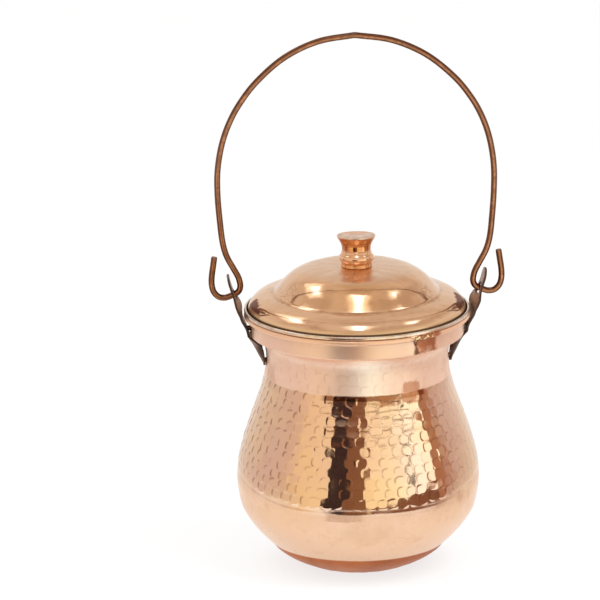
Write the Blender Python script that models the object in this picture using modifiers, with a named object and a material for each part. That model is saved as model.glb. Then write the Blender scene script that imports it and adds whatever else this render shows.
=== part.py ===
"""Hammered copper stew pot with a domed lid and a wire bail.

Units are metres, +Z is up.  The origin is the centre of the flat base.
The pot is round about Z, the two ears stand at +X and -X, and the bail
swings about an axis along X through the holes in the ears.
"""
import math

import bmesh
import bpy
import numpy as np
from mathutils import Matrix, Vector

MM = 0.001

# ---------------------------------------------------------------- dimensions
POT_SEGMENTS = 48            # facets round the pot, its band and the lid
SHEET = 1.2 * MM             # copper sheet of the pot
COLLAR_SHEET = 1.0 * MM      # the same sheet, thinned where it is stepped out
GAP = 0.3 * MM               # clearance kept between touching pieces

BASE_R = 33.0 * MM           # flat disc the pot stands on
FOOT_TOP_Z = 16.8 * MM       # crease between the foot and the belly
FOOT_TOP_R = 62.7 * MM
BELLY_R = 87.35 * MM
BELLY_Z = 64.8 * MM
NECK_R = 65.75 * MM
NECK_Z = 153.0 * MM
COLLAR_R = 75.8 * MM         # outside of the stepped-out collar of the pot
COLLAR_FOOT_Z = 170.6 * MM
SEAT_Z = 185.3 * MM          # ledge that the lid stands on
MOUTH_R = 79.1 * MM          # inside of the upright lip round the lid
LIP_R = 81.4 * MM            # outside of the turned-over lip
RIM_Z = 189.6 * MM           # top of the lip

BAND_R = 77.1 * MM           # outside of the band round the collar
BAND_T = 1.0 * MM
BAND_FOOT_Z = 171.2 * MM
BEAD_R = 81.5 * MM           # outside of the bead under the lip
BEAD_LOW_Z = 182.9 * MM
BEAD_TOP_Z = 186.8 * MM
SEAM_ANGLE = math.radians(-61.2)
SEAM_GAP = 0.4 * MM

EAR_T = 1.8 * MM             # strap iron of the ears
EAR_TOP_Z = 216.5 * MM
EAR_FOOT_Z = 148.0 * MM
EAR_HALF_TOP = 6.2 * MM
EAR_HALF_MID = 9.6 * MM
EAR_HALF_FOOT = 6.5 * MM
EAR_TWIST = {1: math.radians(18.0), -1: math.radians(13.0)}    # right, left

HINGE_X = 88.8 * MM          # centre of each ear's hole
HINGE_Z = 201.7 * MM
EAR_HOLE_R = 4.2 * MM

RIVET_R = 1.9 * MM
RIVET_HEAD_R = 3.4 * MM
RIVET_HEAD_H = 1.3 * MM
RIVET_SINK = 1.3 * MM        # depth of the countersink in the strap
RIVET_TAPER = 0.6            # growth of its radius per length
RIVET_LOW_Z = 151.8 * MM
RIVET_HIGH_Z = 176.0 * MM

WIRE_R = 2.25 * MM           # bail wire
BAIL_APEX_Z = 391.9 * MM

LID_T = 1.0 * MM
LID_EDGE_R = 78.6 * MM
LID_TOP_Z = 220.3 * MM
LID_FOOT_Z = SEAT_Z + GAP
LID_HOLE_R = 2.3 * MM

KNOB_FOOT_Z = LID_TOP_Z + GAP
KNOB_TOP_Z = 243.3 * MM
KNOB_BORE_R = 2.3 * MM
KNOB_BORE_DEPTH = 13.0 * MM
STUD_R = 1.95 * MM
WASHER_R = 7.5 * MM
WASHER_T = 1.0 * MM


# ------------------------------------------------------------------ helpers
def clear_scene():
    for ob in list(bpy.data.objects):
        bpy.data.objects.remove(ob, do_unlink=True)


def collection(name):
    coll = bpy.data.collections.new(name)
    bpy.context.scene.collection.children.link(coll)
    return coll


def material(name, colour, roughness, metallic=1.0):
    mat = bpy.data.materials.new(name)
    mat.use_nodes = True
    shader = mat.node_tree.nodes["Principled BSDF"]
    shader.inputs["Base Color"].default_value = (*colour, 1.0)
    shader.inputs["Roughness"].default_value = roughness
    shader.inputs["Metallic"].default_value = metallic
    return mat


def link(name, mesh, coll, mat=None):
    ob = bpy.data.objects.new(name, mesh)
    coll.objects.link(ob)
    if mat is not None:
        mesh.materials.append(mat)
    return ob


def smooth(knots, count=None):
    """Points of a Catmull-Rom curve through (x, z) knots."""
    pts = [np.array(k, float) for k in knots]
    pts = [2 * pts[0] - pts[1]] + pts + [2 * pts[-1] - pts[-2]]
    out = []
    for i in range(1, len(pts) - 2):
        p0, p1, p2, p3 = pts[i - 1:i + 3]
        n = count or 4
        for k in range(n):
            t = k / n
            out.append(0.5 * ((2 * p1) + (p2 - p0) * t
                              + (2 * p0 - 5 * p1 + 4 * p2 - p3) * t * t
                              + (3 * p1 - p0 - 3 * p2 + p3) * t ** 3))
    out.append(pts[-2])
    return [tuple(p) for p in out]


def arc(centre, radius, start, end, steps):
    """Points on an arc in the (r, z) plane, angles in degrees."""
    return [(centre[0] + radius * math.cos(math.radians(a)),
             centre[1] + radius * math.sin(math.radians(a)))
            for a in np.linspace(start, end, steps + 1)]


def offset_left(points, distance):
    """The polyline moved sideways to its left, corners mitred."""
    pts = np.array(points)
    seg = np.diff(pts, axis=0)
    seg /= np.linalg.norm(seg, axis=1)[:, None]
    normal = np.stack([-seg[:, 1], seg[:, 0]], axis=1)
    out = []
    for i, p in enumerate(pts):
        a = normal[max(i - 1, 0)]
        b = normal[min(i, len(normal) - 1)]
        m = a + b
        m /= np.linalg.norm(m)
        out.append(tuple(p + m * distance / max(0.4, float(m @ a))))
    return out


def turned(name, profile, coll, mat, segments, closed=True):
    """A solid turned about Z from a profile of (r, z) points."""
    bm = bmesh.new()
    verts = [bm.verts.new((r, 0.0, z)) for r, z in profile]
    for a, b in zip(verts, verts[1:]):
        bm.edges.new((a, b))
    if closed:
        bm.edges.new((verts[-1], verts[0]))
    mesh = bpy.data.meshes.new(name)
    bm.to_mesh(mesh)
    bm.free()
    ob = link(name, mesh, coll, mat)
    screw = ob.modifiers.new("turn", "SCREW")
    screw.axis = 'Z'
    screw.angle = 2 * math.pi
    screw.steps = segments
    screw.render_steps = segments
    screw.use_merge_vertices = True
    screw.merge_threshold = 0.00002
    screw.use_smooth_shade = True
    return ob


def cutter_cone(name, coll, r1, r2, length, centre, axis, segments=20):
    """A truncated cone along axis; r1 is at its near end."""
    bpy.ops.mesh.primitive_cone_add(vertices=segments, radius1=r1, radius2=r2,
                                    depth=length)
    ob = bpy.context.active_object
    ob.name = name
    for c in list(ob.users_collection):
        c.objects.unlink(ob)
    coll.objects.link(ob)
    turn = Vector((0, 0, 1)).rotation_difference(Vector(axis))
    ob.matrix_world = Matrix.Translation(centre) @ turn.to_matrix().to_4x4()
    ob.hide_render = True
    ob.display_type = 'WIRE'
    return ob


def cut(ob, cutter):
    mod = ob.modifiers.new("cut_" + cutter.name, "BOOLEAN")
    mod.operation = 'DIFFERENCE'
    mod.solver = 'EXACT'
    mod.object = cutter
    return mod


# ----------------------------------------------------------------- the pot
def pot_outside():
    """Outer side of the pot from the rim down to the middle of the base."""
    belly = [(COLLAR_R - 2.6 * MM, COLLAR_FOOT_Z - 1.5 * MM),
             (70.0 * MM, 167.3 * MM),
             (67.2 * MM, 163.4 * MM),
             (66.0 * MM, 158.5 * MM),
             (NECK_R, NECK_Z),
             (66.2 * MM, 147.0 * MM),
             (67.4 * MM, 139.5 * MM),
             (70.1 * MM, 129.6 * MM),
             (73.9 * MM, 118.8 * MM),
             (77.8 * MM, 108.0 * MM),
             (81.4 * MM, 97.2 * MM),
             (84.5 * MM, 86.4 * MM),
             (86.7 * MM, 75.6 * MM),
             (BELLY_R, BELLY_Z),
             (86.4 * MM, 54.0 * MM),
             (83.9 * MM, 43.2 * MM),
             (79.0 * MM, 34.6 * MM),
             (72.6 * MM, 26.6 * MM),
             (67.0 * MM, 20.9 * MM)]
    foot = [(FOOT_TOP_R, FOOT_TOP_Z),
            (60.2 * MM, 13.3 * MM),
            (55.4 * MM, 9.7 * MM),
            (49.4 * MM, 6.2 * MM),
            (42.0 * MM, 2.6 * MM),
            (37.0 * MM, 0.8 * MM)]
    # the kink over the foot stays a corner: the two curves are not blended
    return belly + foot + [(BASE_R, 0.0)]


def pot_profile():
    outside = pot_outside()
    # collar and seat, from the foot of the collar up to the lip
    r, t = COLLAR_R, COLLAR_SHEET
    collar_out = [(r - 0.7 * MM, COLLAR_FOOT_Z - 0.1 * MM),
                  (r, COLLAR_FOOT_Z + 0.9 * MM),
                  (r, SEAT_Z - t - 1.2 * MM)]
    collar_out += arc((r + 1.2 * MM, SEAT_Z - t - 1.2 * MM), 1.2 * MM, 180, 90, 3)[1:]
    wall = MOUTH_R + t
    collar_out += [(wall - 0.9 * MM, SEAT_Z - t), (wall, SEAT_Z - t + 0.9 * MM),
                   (wall, RIM_Z - 2.5 * MM)]
    lip = [(LIP_R - 0.3 * MM, RIM_Z - 2.4 * MM), (LIP_R, RIM_Z - 2.0 * MM),
           (LIP_R, RIM_Z - 1.0 * MM), (LIP_R - 0.35 * MM, RIM_Z - 0.3 * MM),
           (LIP_R - 1.1 * MM, RIM_Z), (MOUTH_R + 0.35 * MM, RIM_Z - 0.1 * MM),
           (MOUTH_R, RIM_Z - 0.6 * MM)]
    collar_in = [(MOUTH_R, SEAT_Z + 0.4 * MM), (MOUTH_R - 0.4 * MM, SEAT_Z)]
    collar_in += [(r + 0.9 * MM, SEAT_Z), (r - t + 0.3 * MM, SEAT_Z - 0.8 * MM),
                  (r - t, SEAT_Z - 1.8 * MM),
                  (r - t, COLLAR_FOOT_Z + 1.9 * MM)]
    inside = offset_left(outside, -SHEET)
    inside[-1] = (BASE_R - 0.3 * MM, SHEET)
    # the inside is smoother than the outside: every second point is enough
    inside = inside[:6] + inside[6:-8:2] + inside[-8:]
    # one loop: middle of the floor, up the inside, over the lip, down the
    # outside to the middle of the base
    up = [(0.0, SHEET)] + inside[::-1]
    up += [(r - t - 0.5 * MM, COLLAR_FOOT_Z + 0.95 * MM)]
    up += collar_in[::-1]
    over = lip[::-1]
    down = collar_out[::-1] + outside + [(0.0, 0.0)]
    return up + over + down


def make_pot(coll, cutters, mat):
    pot = turned("pot_body", pot_profile(), coll, mat, POT_SEGMENTS, closed=False)
    for side in (1, -1):
        for tag, z, r in (("low", RIVET_LOW_Z, NECK_R),
                          ("high", RIVET_HIGH_Z, COLLAR_R)):
            c = cutter_cone(f"hole_pot_{tag}_{side}", cutters,
                            RIVET_R + GAP, RIVET_R + GAP, 8 * MM,
                            (side * (r - 0.6 * MM), 0, z), (side, 0, 0), 12)
            cut(pot, c)
    return pot


def make_band(coll, cutters, mat):
    t = BAND_T
    inner = BAND_R - t
    # outer side from the bead down to the foot, then up the inner side
    bead = [(LIP_R - 1.05 * MM, BEAD_TOP_Z), (BEAD_R - 0.4 * MM, BEAD_TOP_Z - 0.35 * MM),
            (BEAD_R, BEAD_TOP_Z - 1.3 * MM), (BEAD_R, BEAD_LOW_Z + 1.2 * MM),
            (BEAD_R - 0.5 * MM, BEAD_LOW_Z + 0.3 * MM),
            (BEAD_R - 1.5 * MM, BEAD_LOW_Z)]
    outer = bead + [(BAND_R + 0.5 * MM, BEAD_LOW_Z), (BAND_R, BEAD_LOW_Z - 0.6 * MM),
                    (BAND_R, BAND_FOOT_Z + 0.5 * MM), (BAND_R - 0.4 * MM, BAND_FOOT_Z)]
    wall_in = MOUTH_R + COLLAR_SHEET + GAP
    under_seat = SEAT_Z - COLLAR_SHEET - GAP
    back = [(inner, BAND_FOOT_Z), (inner, under_seat - 1.1 * MM),
            (inner + 1.2 * MM, under_seat), (wall_in - 0.8 * MM, under_seat),
            (wall_in, under_seat + 1.0 * MM), (wall_in, BEAD_TOP_Z - 0.3 * MM)]
    band = turned("rim_band", outer + back, coll, mat, POT_SEGMENTS)
    bpy.ops.mesh.primitive_cube_add(size=1)
    box = bpy.context.active_object
    box.name = "cut_band_seam"
    for c in list(box.users_collection):
        c.objects.unlink(box)
    cutters.objects.link(box)
    box.data.transform(Matrix.Diagonal((16 * MM, SEAM_GAP, 24 * MM, 1)))
    box.matrix_world = (Matrix.Rotation(SEAM_ANGLE, 4, 'Z')
                        @ Matrix.Translation((BAND_R, 0, 179 * MM)))
    box.hide_render = True
    box.display_type = 'WIRE'
    cut(band, box)
    for side in (1, -1):
        c = cutter_cone(f"hole_band_{side}", cutters, RIVET_R + GAP, RIVET_R + GAP,
                        8 * MM, (side * BAND_R, 0, RIVET_HIGH_Z), (side, 0, 0), 12)
        cut(band, c)
    return band


# ---------------------------------------------------------------- the ears
def ear_line(z):
    """Distance from the pot's axis to the ear's inner face at height z."""
    zs = np.array([147.0, 150.5, 154.0, 157.0, 161.5, 166.0, 170.8, 176.0, 180.0,
                   183.5, 187.0, 190.8, 197.0, 201.7, 206.0, 211.0, 216.8]) * MM
    rs = np.array([66.1, 66.5, 68.2, 69.8, 72.1, 74.6, 77.5, 78.8, 80.4,
                   82.1, 82.9, 83.8, 85.9, 87.9, 89.6, 91.1, 92.2]) * MM
    return float(np.interp(z, zs, rs))


def ear_half_width(z):
    """Half width of the strap: round ends, widest beside the rim."""
    zs = np.array([EAR_FOOT_Z, 152 * MM, 165 * MM, 178 * MM, 188 * MM, 194 * MM,
                   198 * MM, 202 * MM, EAR_TOP_Z])
    ws = np.array([EAR_HALF_FOOT, EAR_HALF_FOOT, 8.5 * MM, EAR_HALF_MID, EAR_HALF_MID,
                   8.8 * MM, 7.2 * MM, 6.2 * MM, EAR_HALF_TOP])
    w = float(np.interp(z, zs, ws))
    for end in (z - EAR_FOOT_Z, EAR_TOP_Z - z):
        if end < w:
            w = min(w, math.sqrt(max(w * w - (w - end) ** 2, (0.35 * w) ** 2)))
    return w


def ear_twist(z, side):
    """The strap lies flat on the band, and is twisted a little above the rim."""
    return EAR_TWIST[side] * float(np.interp(z / MM, [178, 183, 187, 190, 194, 198, 202],
                                             [0.0, 0.2, 0.4, 0.8, 1.0, 0.75, 0.25]))


def ear_curl(z):
    """How far the edges of the lower leg are dished in towards the neck."""
    return float(np.interp(z / MM, [150.0, 154.0, 157.5, 161.0, 164.6, 168.1, 171.6],
                           [0.0, 1.8, 3.4, 4.6, 5.0, 3.0, 0.0])) * MM


def ear_rows():
    ends = [0.0, 0.7, 1.8, 3.6, 6.0]
    low = [EAR_FOOT_Z + e * MM for e in ends]
    high = [EAR_TOP_Z - e * MM for e in ends][::-1]
    mid = list(np.linspace(low[-1], high[0], 17))[1:-1]
    return low + mid + high


def make_ear(name, side, coll, cutters, mat):
    """A strap bent to the pot's outline, narrower at its ends, with holes."""
    columns = 5
    bm = bmesh.new()
    grid = []
    for z in ear_rows():
        r, w, turn = ear_line(z), ear_half_width(z), ear_twist(z, side)
        row = []
        for c in range(columns):
            v = w * (2 * c / (columns - 1) - 1)
            dish = ear_curl(z) * abs(v / w) ** 3
            row.append(bm.verts.new((side * (r - v * math.sin(turn) - dish),
                                     v * math.cos(turn), z)))
        grid.append(row)
    for a, b in zip(grid, grid[1:]):
        for i in range(columns - 1):
            bm.faces.new((a[i], a[i + 1], b[i + 1], b[i]))
    mesh = bpy.data.meshes.new(name)
    bm.to_mesh(mesh)
    bm.free()
    ear = link(name, mesh, coll, mat)
    bpy.context.view_layer.update()
    solid = ear.modifiers.new("sheet", "SOLIDIFY")
    solid.thickness = EAR_T
    solid.offset = side          # the sheet grows away from the pot
    solid.use_even_offset = True
    # round hole for the bail
    cut(ear, cutter_cone(f"hole_bail_{side}", cutters, EAR_HOLE_R, EAR_HOLE_R,
                         12 * MM, (side * HINGE_X, 0, HINGE_Z), (side, 0, 0), 28))
    # rivet holes, countersunk from the outside
    for tag, z in (("low", RIVET_LOW_Z), ("high", RIVET_HIGH_Z)):
        face = ear_line(z) + EAR_T
        back, near, far = face - 5 * MM, face - RIVET_SINK, face + 3 * MM
        r = RIVET_R + 1.2 * GAP
        sink = turned(f"sink_{tag}_{side}",
                      [(0.0, far), (r + RIVET_TAPER * (far - near), far),
                       (r, near), (r, back), (0.0, back)],
                      cutters, None, 16, closed=False)
        sink.matrix_world = (Matrix.Translation((0, 0, z))
                             @ Matrix.Rotation(side * math.pi / 2, 4, 'Y'))
        sink.hide_render = True
        sink.display_type = 'WIRE'
        cut(ear, sink)
    return ear


def make_rivet(name, side, z, wall, coll, cutters, mat):
    """Round head inside the pot, shank out through the ear, end flared flush."""
    head = wall - RIVET_HEAD_H - GAP
    face = ear_line(z) + EAR_T
    length = face + 1.6 * MM - head
    start = face - RIVET_SINK - head
    h, hr, sr = RIVET_HEAD_H, RIVET_HEAD_R, RIVET_R
    # local profile: +Z is outwards, z = 0 is the top of the inner head
    profile = [(0.0, length), (sr + RIVET_TAPER * (length - start), length),
               (sr, start), (sr, h), (hr, h), (hr, h - 0.35 * MM),
               (hr * 0.86, h * 0.42), (hr * 0.58, h * 0.14), (0.0, 0.0)]
    ob = turned(name, profile, coll, mat, 16, closed=False)
    ob.matrix_world = (Matrix.Translation((side * head, 0, z))
                       @ Matrix.Rotation(side * math.pi / 2, 4, 'Y'))
    # the end is dressed flush with the sloping face of the strap
    slope = math.atan2(ear_line(z + 1.5 * MM) - ear_line(z - 1.5 * MM), 3 * MM)
    bpy.ops.mesh.primitive_cube_add(size=1)
    box = bpy.context.active_object
    box.name = f"dress_{name}"
    for c in list(box.users_collection):
        c.objects.unlink(box)
    cutters.objects.link(box)
    size = 20 * MM
    box.data.transform(Matrix.Diagonal((size, size, size, 1)))
    outward = Vector((side * math.cos(slope), 0, -math.sin(slope)))
    point = Vector((side * (face + 0.25 * MM), 0, z))
    turn = Vector((0, 0, 1)).rotation_difference(outward)
    box.matrix_world = (Matrix.Translation(point + outward * size / 2)
                        @ turn.to_matrix().to_4x4())
    box.hide_render = True
    box.display_type = 'WIRE'
    cut(ob, box)
    return ob


# ---------------------------------------------------------------- the bail
def bail_half():
    """Centreline of half the bail in (x, z), from the apex to the free end."""
    knots = [(0.0, BAIL_APEX_Z / MM), (26.8, 387.7), (50.8, 376.8), (70.6, 360.0),
             (83.3, 343.5), (91.4, 327.9), (96.6, 311.5), (99.4, 293.0),
             (99.5, 274.5), (98.2, 256.0), (96.4, 240.2), (93.6, 230.0),
             (89.2, 221.5), (85.7, 215.0), (84.2, 210.0), (84.1, 206.2),
             (85.6, 203.2), (HINGE_X / MM, HINGE_Z / MM - 0.3), (91.9, 200.0),
             (95.2, 199.1), (99.6, 199.9), (103.2, 203.8), (104.6, 209.6),
             (104.4, 216.0), (103.4, 223.0), (102.5, 229.7)]
    return [(x * MM, z * MM) for x, z in knots]


def make_bail(coll, mat):
    half = smooth(bail_half(), 2)
    line = [(-x, z) for x, z in half[::-1]] + half[1:]
    curve = bpy.data.curves.new("bail_wire", 'CURVE')
    curve.dimensions = '3D'
    curve.bevel_depth = WIRE_R
    curve.bevel_resolution = 2
    curve.use_fill_caps = True
    spline = curve.splines.new('POLY')
    spline.points.add(len(line) - 1)
    for p, (x, z) in zip(spline.points, line):
        p.co = (x, 0.0, z - HINGE_Z, 1.0)
    curve.materials.append(mat)
    ob = bpy.data.objects.new("bail_wire", curve)
    ob.location = (0, 0, HINGE_Z)
    coll.objects.link(ob)
    return ob


# ----------------------------------------------------------------- the lid
def lid_outside():
    """Upper side of the lid from the centre hole out to the rolled edge."""
    dome = [(LID_HOLE_R / MM, 220.3), (12.0, 220.25), (24.5, 219.85), (34.0, 218.85),
            (41.8, 216.8), (47.6, 213.8), (52.6, 209.6), (56.8, 204.8),
            (59.2, 202.0)]
    ring = [(60.6, 200.9), (63.6, 200.3), (67.2, 199.5), (70.2, 198.5),
            (73.0, 197.1), (75.4, 195.2), (77.2, 192.9), (78.3, 190.4)]
    pts = smooth(dome, 2) + smooth(ring, 1)
    return ([(x * MM, z * MM) for x, z in pts]
            + [(LID_EDGE_R, 188.8 * MM), (LID_EDGE_R, LID_FOOT_Z)])


def make_lid(coll, mat):
    outside = lid_outside()
    inside = offset_left(outside, -LID_T)
    inside[0] = (LID_HOLE_R, LID_TOP_Z - LID_T)
    inside[-1] = (LID_EDGE_R - LID_T, LID_FOOT_Z)
    # pull the sharp inner corner back so the sheet keeps its thickness
    inside[-2] = (LID_EDGE_R - LID_T, 188.4 * MM)
    inside[-3] = (77.35 * MM, 190.0 * MM)
    return turned("lid_shell", outside + inside[::-1], coll, mat, POT_SEGMENTS)


def make_knob(coll, mat):
    z0, z1 = KNOB_FOOT_Z / MM, KNOB_TOP_Z / MM
    side = [(13.4, z1), (14.0, z1 - 0.5), (13.9, z1 - 1.4), (12.9, z1 - 3.4),
            (11.4, z1 - 5.9), (10.5, z1 - 8.6), (10.5, z1 - 11.0),
            (11.4, z1 - 13.6), (12.4, z1 - 15.4), (12.7, z1 - 17.0),
            (12.0, z1 - 18.6), (11.1, z1 - 19.6), (11.0, z1 - 21.4),
            (11.2, z0)]
    side = [(r * MM, z * MM) for r, z in side]
    top = [(0.0, KNOB_TOP_Z - 0.3 * MM), (12.0 * MM, KNOB_TOP_Z - 0.1 * MM)]
    bore = [(KNOB_BORE_R, KNOB_FOOT_Z), (KNOB_BORE_R, KNOB_FOOT_Z + KNOB_BORE_DEPTH),
            (0.0, KNOB_FOOT_Z + KNOB_BORE_DEPTH + 1.0 * MM)]
    return turned("lid_knob", top + side + bore, coll, mat, 32, closed=False)


def make_stud(coll, mat):
    """Stud in the knob's bore, its end peened into a dome under the washer."""
    top = KNOB_FOOT_Z + KNOB_BORE_DEPTH - GAP
    seat = LID_TOP_Z - LID_T - GAP - WASHER_T - GAP
    profile = [(0.0, top), (STUD_R - 0.4 * MM, top), (STUD_R, top - 0.4 * MM),
               (STUD_R, seat), (4.2 * MM, seat), (4.1 * MM, seat - 0.7 * MM),
               (3.2 * MM, seat - 1.6 * MM), (1.7 * MM, seat - 2.15 * MM),
               (0.0, seat - 2.3 * MM)]
    return turned("knob_stud", profile, coll, mat, 20, closed=False)


def make_washer(coll, mat):
    top = LID_TOP_Z - LID_T - GAP
    profile = [(LID_HOLE_R, top), (WASHER_R, top), (WASHER_R, top - WASHER_T),
               (LID_HOLE_R, top - WASHER_T)]
    return turned("knob_washer", profile, coll, mat, 28)


# -------------------------------------------------------------------- build
def build():
    clear_scene()
    parts = collection("copper_stew_pot")
    cutters = collection("cutters")
    copper = (0.84, 0.52, 0.36)
    pot_mat = material("hammered_copper", copper, 0.22)
    band_mat = material("band_copper", (0.86, 0.55, 0.40), 0.28)
    lid_mat = material("polished_copper", (0.80, 0.47, 0.30), 0.12)
    knob_mat = material("knob_copper", (0.72, 0.33, 0.16), 0.15)
    wire_mat = material("bail_copper", (0.50, 0.27, 0.16), 0.30)
    iron_mat = material("ear_iron", (0.16, 0.12, 0.10), 0.45)
    rivet_mat = material("rivet_iron", (0.22, 0.17, 0.14), 0.40)
    stud_mat = material("stud_copper", (0.70, 0.42, 0.28), 0.35)
    washer_mat = material("washer_brass", (0.66, 0.50, 0.28), 0.35)

    make_pot(parts, cutters, pot_mat)
    make_band(parts, cutters, band_mat)
    for word, side in (("right", 1), ("left", -1)):
        make_ear(f"ear_{word}", side, parts, cutters, iron_mat)
        make_rivet(f"ear_rivet_{word}_low", side, RIVET_LOW_Z,
                   NECK_R - SHEET, parts, cutters, rivet_mat)
        make_rivet(f"ear_rivet_{word}_high", side, RIVET_HIGH_Z,
                   COLLAR_R - COLLAR_SHEET, parts, cutters, rivet_mat)
    make_bail(parts, wire_mat)
    make_lid(parts, lid_mat)
    make_knob(parts, knob_mat)
    make_stud(parts, stud_mat)
    make_washer(parts, washer_mat)

    for ob in parts.objects:
        if ob.type == 'MESH':
            ob.data.shade_smooth()
            ob.data.set_sharp_from_angle(angle=math.radians(35))


build()
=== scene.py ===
import math

import bmesh
import bpy
import numpy as np
from mathutils import Matrix, Vector


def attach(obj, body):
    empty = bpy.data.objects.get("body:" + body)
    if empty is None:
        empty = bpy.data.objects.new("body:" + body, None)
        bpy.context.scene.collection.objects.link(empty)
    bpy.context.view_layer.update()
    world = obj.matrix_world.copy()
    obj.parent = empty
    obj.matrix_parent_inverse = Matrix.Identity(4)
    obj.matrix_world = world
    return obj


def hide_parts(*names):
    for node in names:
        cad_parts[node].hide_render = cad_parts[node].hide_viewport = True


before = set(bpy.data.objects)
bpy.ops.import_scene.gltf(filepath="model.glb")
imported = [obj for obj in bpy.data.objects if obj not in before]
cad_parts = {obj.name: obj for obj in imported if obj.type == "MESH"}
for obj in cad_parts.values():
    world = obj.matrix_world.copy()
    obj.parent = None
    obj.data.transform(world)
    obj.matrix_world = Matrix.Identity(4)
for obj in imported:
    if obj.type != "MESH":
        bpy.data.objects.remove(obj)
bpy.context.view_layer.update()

# Looks of a hammered copper stew pot with a domed lid and a wire bail.
# Metres, +Z up, origin in the middle of the flat base.  The ears stand at +X
# and -X.  Profiles are (radius, height) in millimetres.
MM = 0.001
SEED = 11

# ------------------------------------------------------------------ view
ELEVATION = math.radians(15.8)
TURN = math.radians(4.0)          # camera stands a little towards -X
ROLL = math.radians(0.5)          # the pot leans this much to the left
DISTANCE = 12.0
FIELD = 0.432                     # width of the picture at the pot
AIM_HEIGHT = 0.1950
AIM_LEFT = 0.0409

# ------------------------------------------------------------- the pot
FINE = 704                        # segments round the hammered zone
SEAT_Z, MOUTH_R, LIP_R, RIM_Z = 185.3, 79.1, 81.4, 189.6
COLLAR_R, COLLAR_T, SHEET = 75.8, 1.0, 1.2
CREASE_Z, CREASE_R = 141.2, 66.95
BAND_R, BEAD_R, BEAD_LOW, BEAD_TOP = 77.1, 81.5, 182.9, 186.8
BAND_FOOT = 171.2
SEAM_ANGLE = math.radians(-61.2)
EAR_FOOT_Z, EAR_TOP_Z, EAR_T = 148.0, 216.5, 1.8
EAR_TWIST = {1: math.radians(18.0), -1: math.radians(13.0)}
HINGE_X, HINGE_Z, EAR_HOLE_R = 88.8, 201.7, 4.2
RIVET_LOW_Z, RIVET_HIGH_Z = 151.8, 176.0
NECK_R = 65.75
WIRE_R = 2.25
LID_T, LID_EDGE_R, LID_FOOT_Z, LID_TOP_Z = 1.0, 78.6, 185.6, 220.3
KNOB_TOP_Z = 243.3
KNOB_LEAN = math.radians(5.5)

SMOOTHER = math.radians(-18.0)    # direction of the belly's smoothest part
WILDER = math.radians(-54.0)      # and of its least even one
FRONT = math.radians(-94.0)
SIDE_RISE = 11.0                  # the marks end this much higher beside and behind
MARK_PITCH = 8.25                 # hammer marks along a row
ROW_PITCH = 7.75                  # and between rows


# ================================================================ geometry
def smooth(knots, count=8):
    """Catmull-Rom curve through (r, z) knots."""
    p = np.array(knots, float)
    p = np.vstack([2 * p[0] - p[1], p, 2 * p[-1] - p[-2]])
    out = []
    for i in range(1, len(p) - 2):
        for t in np.arange(count) / count:
            out.append(0.5 * (2 * p[i] + (p[i + 1] - p[i - 1]) * t
                              + (2 * p[i - 1] - 5 * p[i] + 4 * p[i + 1] - p[i + 2]) * t ** 2
                              + (3 * p[i] - p[i - 1] - 3 * p[i + 1] + p[i + 2]) * t ** 3))
    out.append(p[-2])
    return np.array(out)


def spaced(points, step, least=2):
    """The same line with its points an even step apart."""
    p = np.array(points, float)
    s = np.concatenate([[0], np.cumsum(np.linalg.norm(np.diff(p, axis=0), axis=1))])
    n = max(least, int(round(s[-1] / step)) + 1)
    t = np.linspace(0, s[-1], n)
    return np.stack([np.interp(t, s, p[:, k]) for k in range(p.shape[1])], axis=1)


def rounded(points, radius, steps=4):
    """A polyline of (r, z) whose corners are rounded."""
    p = np.array(points, float)
    out = [p[0]]
    for a, b, c in zip(p, p[1:], p[2:]):
        u, v = a - b, c - b
        lu, lv = np.linalg.norm(u), np.linalg.norm(v)
        cut = min(radius, 0.45 * lu, 0.45 * lv)
        s, e = b + u / lu * cut, b + v / lv * cut
        for t in np.linspace(0, 1, steps + 1):
            out.append((1 - t) ** 2 * s + 2 * t * (1 - t) * b + t * t * e)
    out.append(p[-1])
    return np.array(out)


def normals_of(profile):
    """Unit normals of a profile, to the left of its direction of travel."""
    d = np.gradient(profile, axis=0)
    d /= np.maximum(np.linalg.norm(d, axis=1), 1e-9)[:, None]
    return np.stack([-d[:, 1], d[:, 0]], axis=1)


def arc_length(profile):
    return np.concatenate([[0], np.cumsum(np.linalg.norm(np.diff(profile, axis=0), axis=1))])


def waves(theta, s, size, amplitude, seed, count=26):
    """Gentle unevenness of handwork, in step round the whole turn."""
    rng = np.random.RandomState(seed)
    around = 2 * math.pi * 75 / size
    total = np.zeros((len(s), len(theta)))
    for _ in range(count):
        m = int(round(rng.uniform(0.25, 1.0) * around * rng.choice([-1, 1])))
        q = rng.uniform(-1, 1) * 2 * math.pi / size
        total += np.cos(m * theta[None, :] + q * s[:, None] + rng.uniform(0, 6.283))
    return total * amplitude / math.sqrt(count / 2)


def ring_points(profile, segs, lift=None):
    """(rows, segs, 3) points of a turned surface in metres; lift is outward, along the
    profile's left normal, in mm."""
    theta = np.arange(segs) * 2 * math.pi / segs
    r = np.repeat(profile[:, 0][:, None], segs, axis=1)
    z = np.repeat(profile[:, 1][:, None], segs, axis=1)
    if lift is not None:
        n = normals_of(profile)
        r = r + lift * n[:, 0][:, None]
        z = z + lift * n[:, 1][:, None]
    return np.stack([r * np.cos(theta), r * np.sin(theta), z], axis=2) * MM


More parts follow.
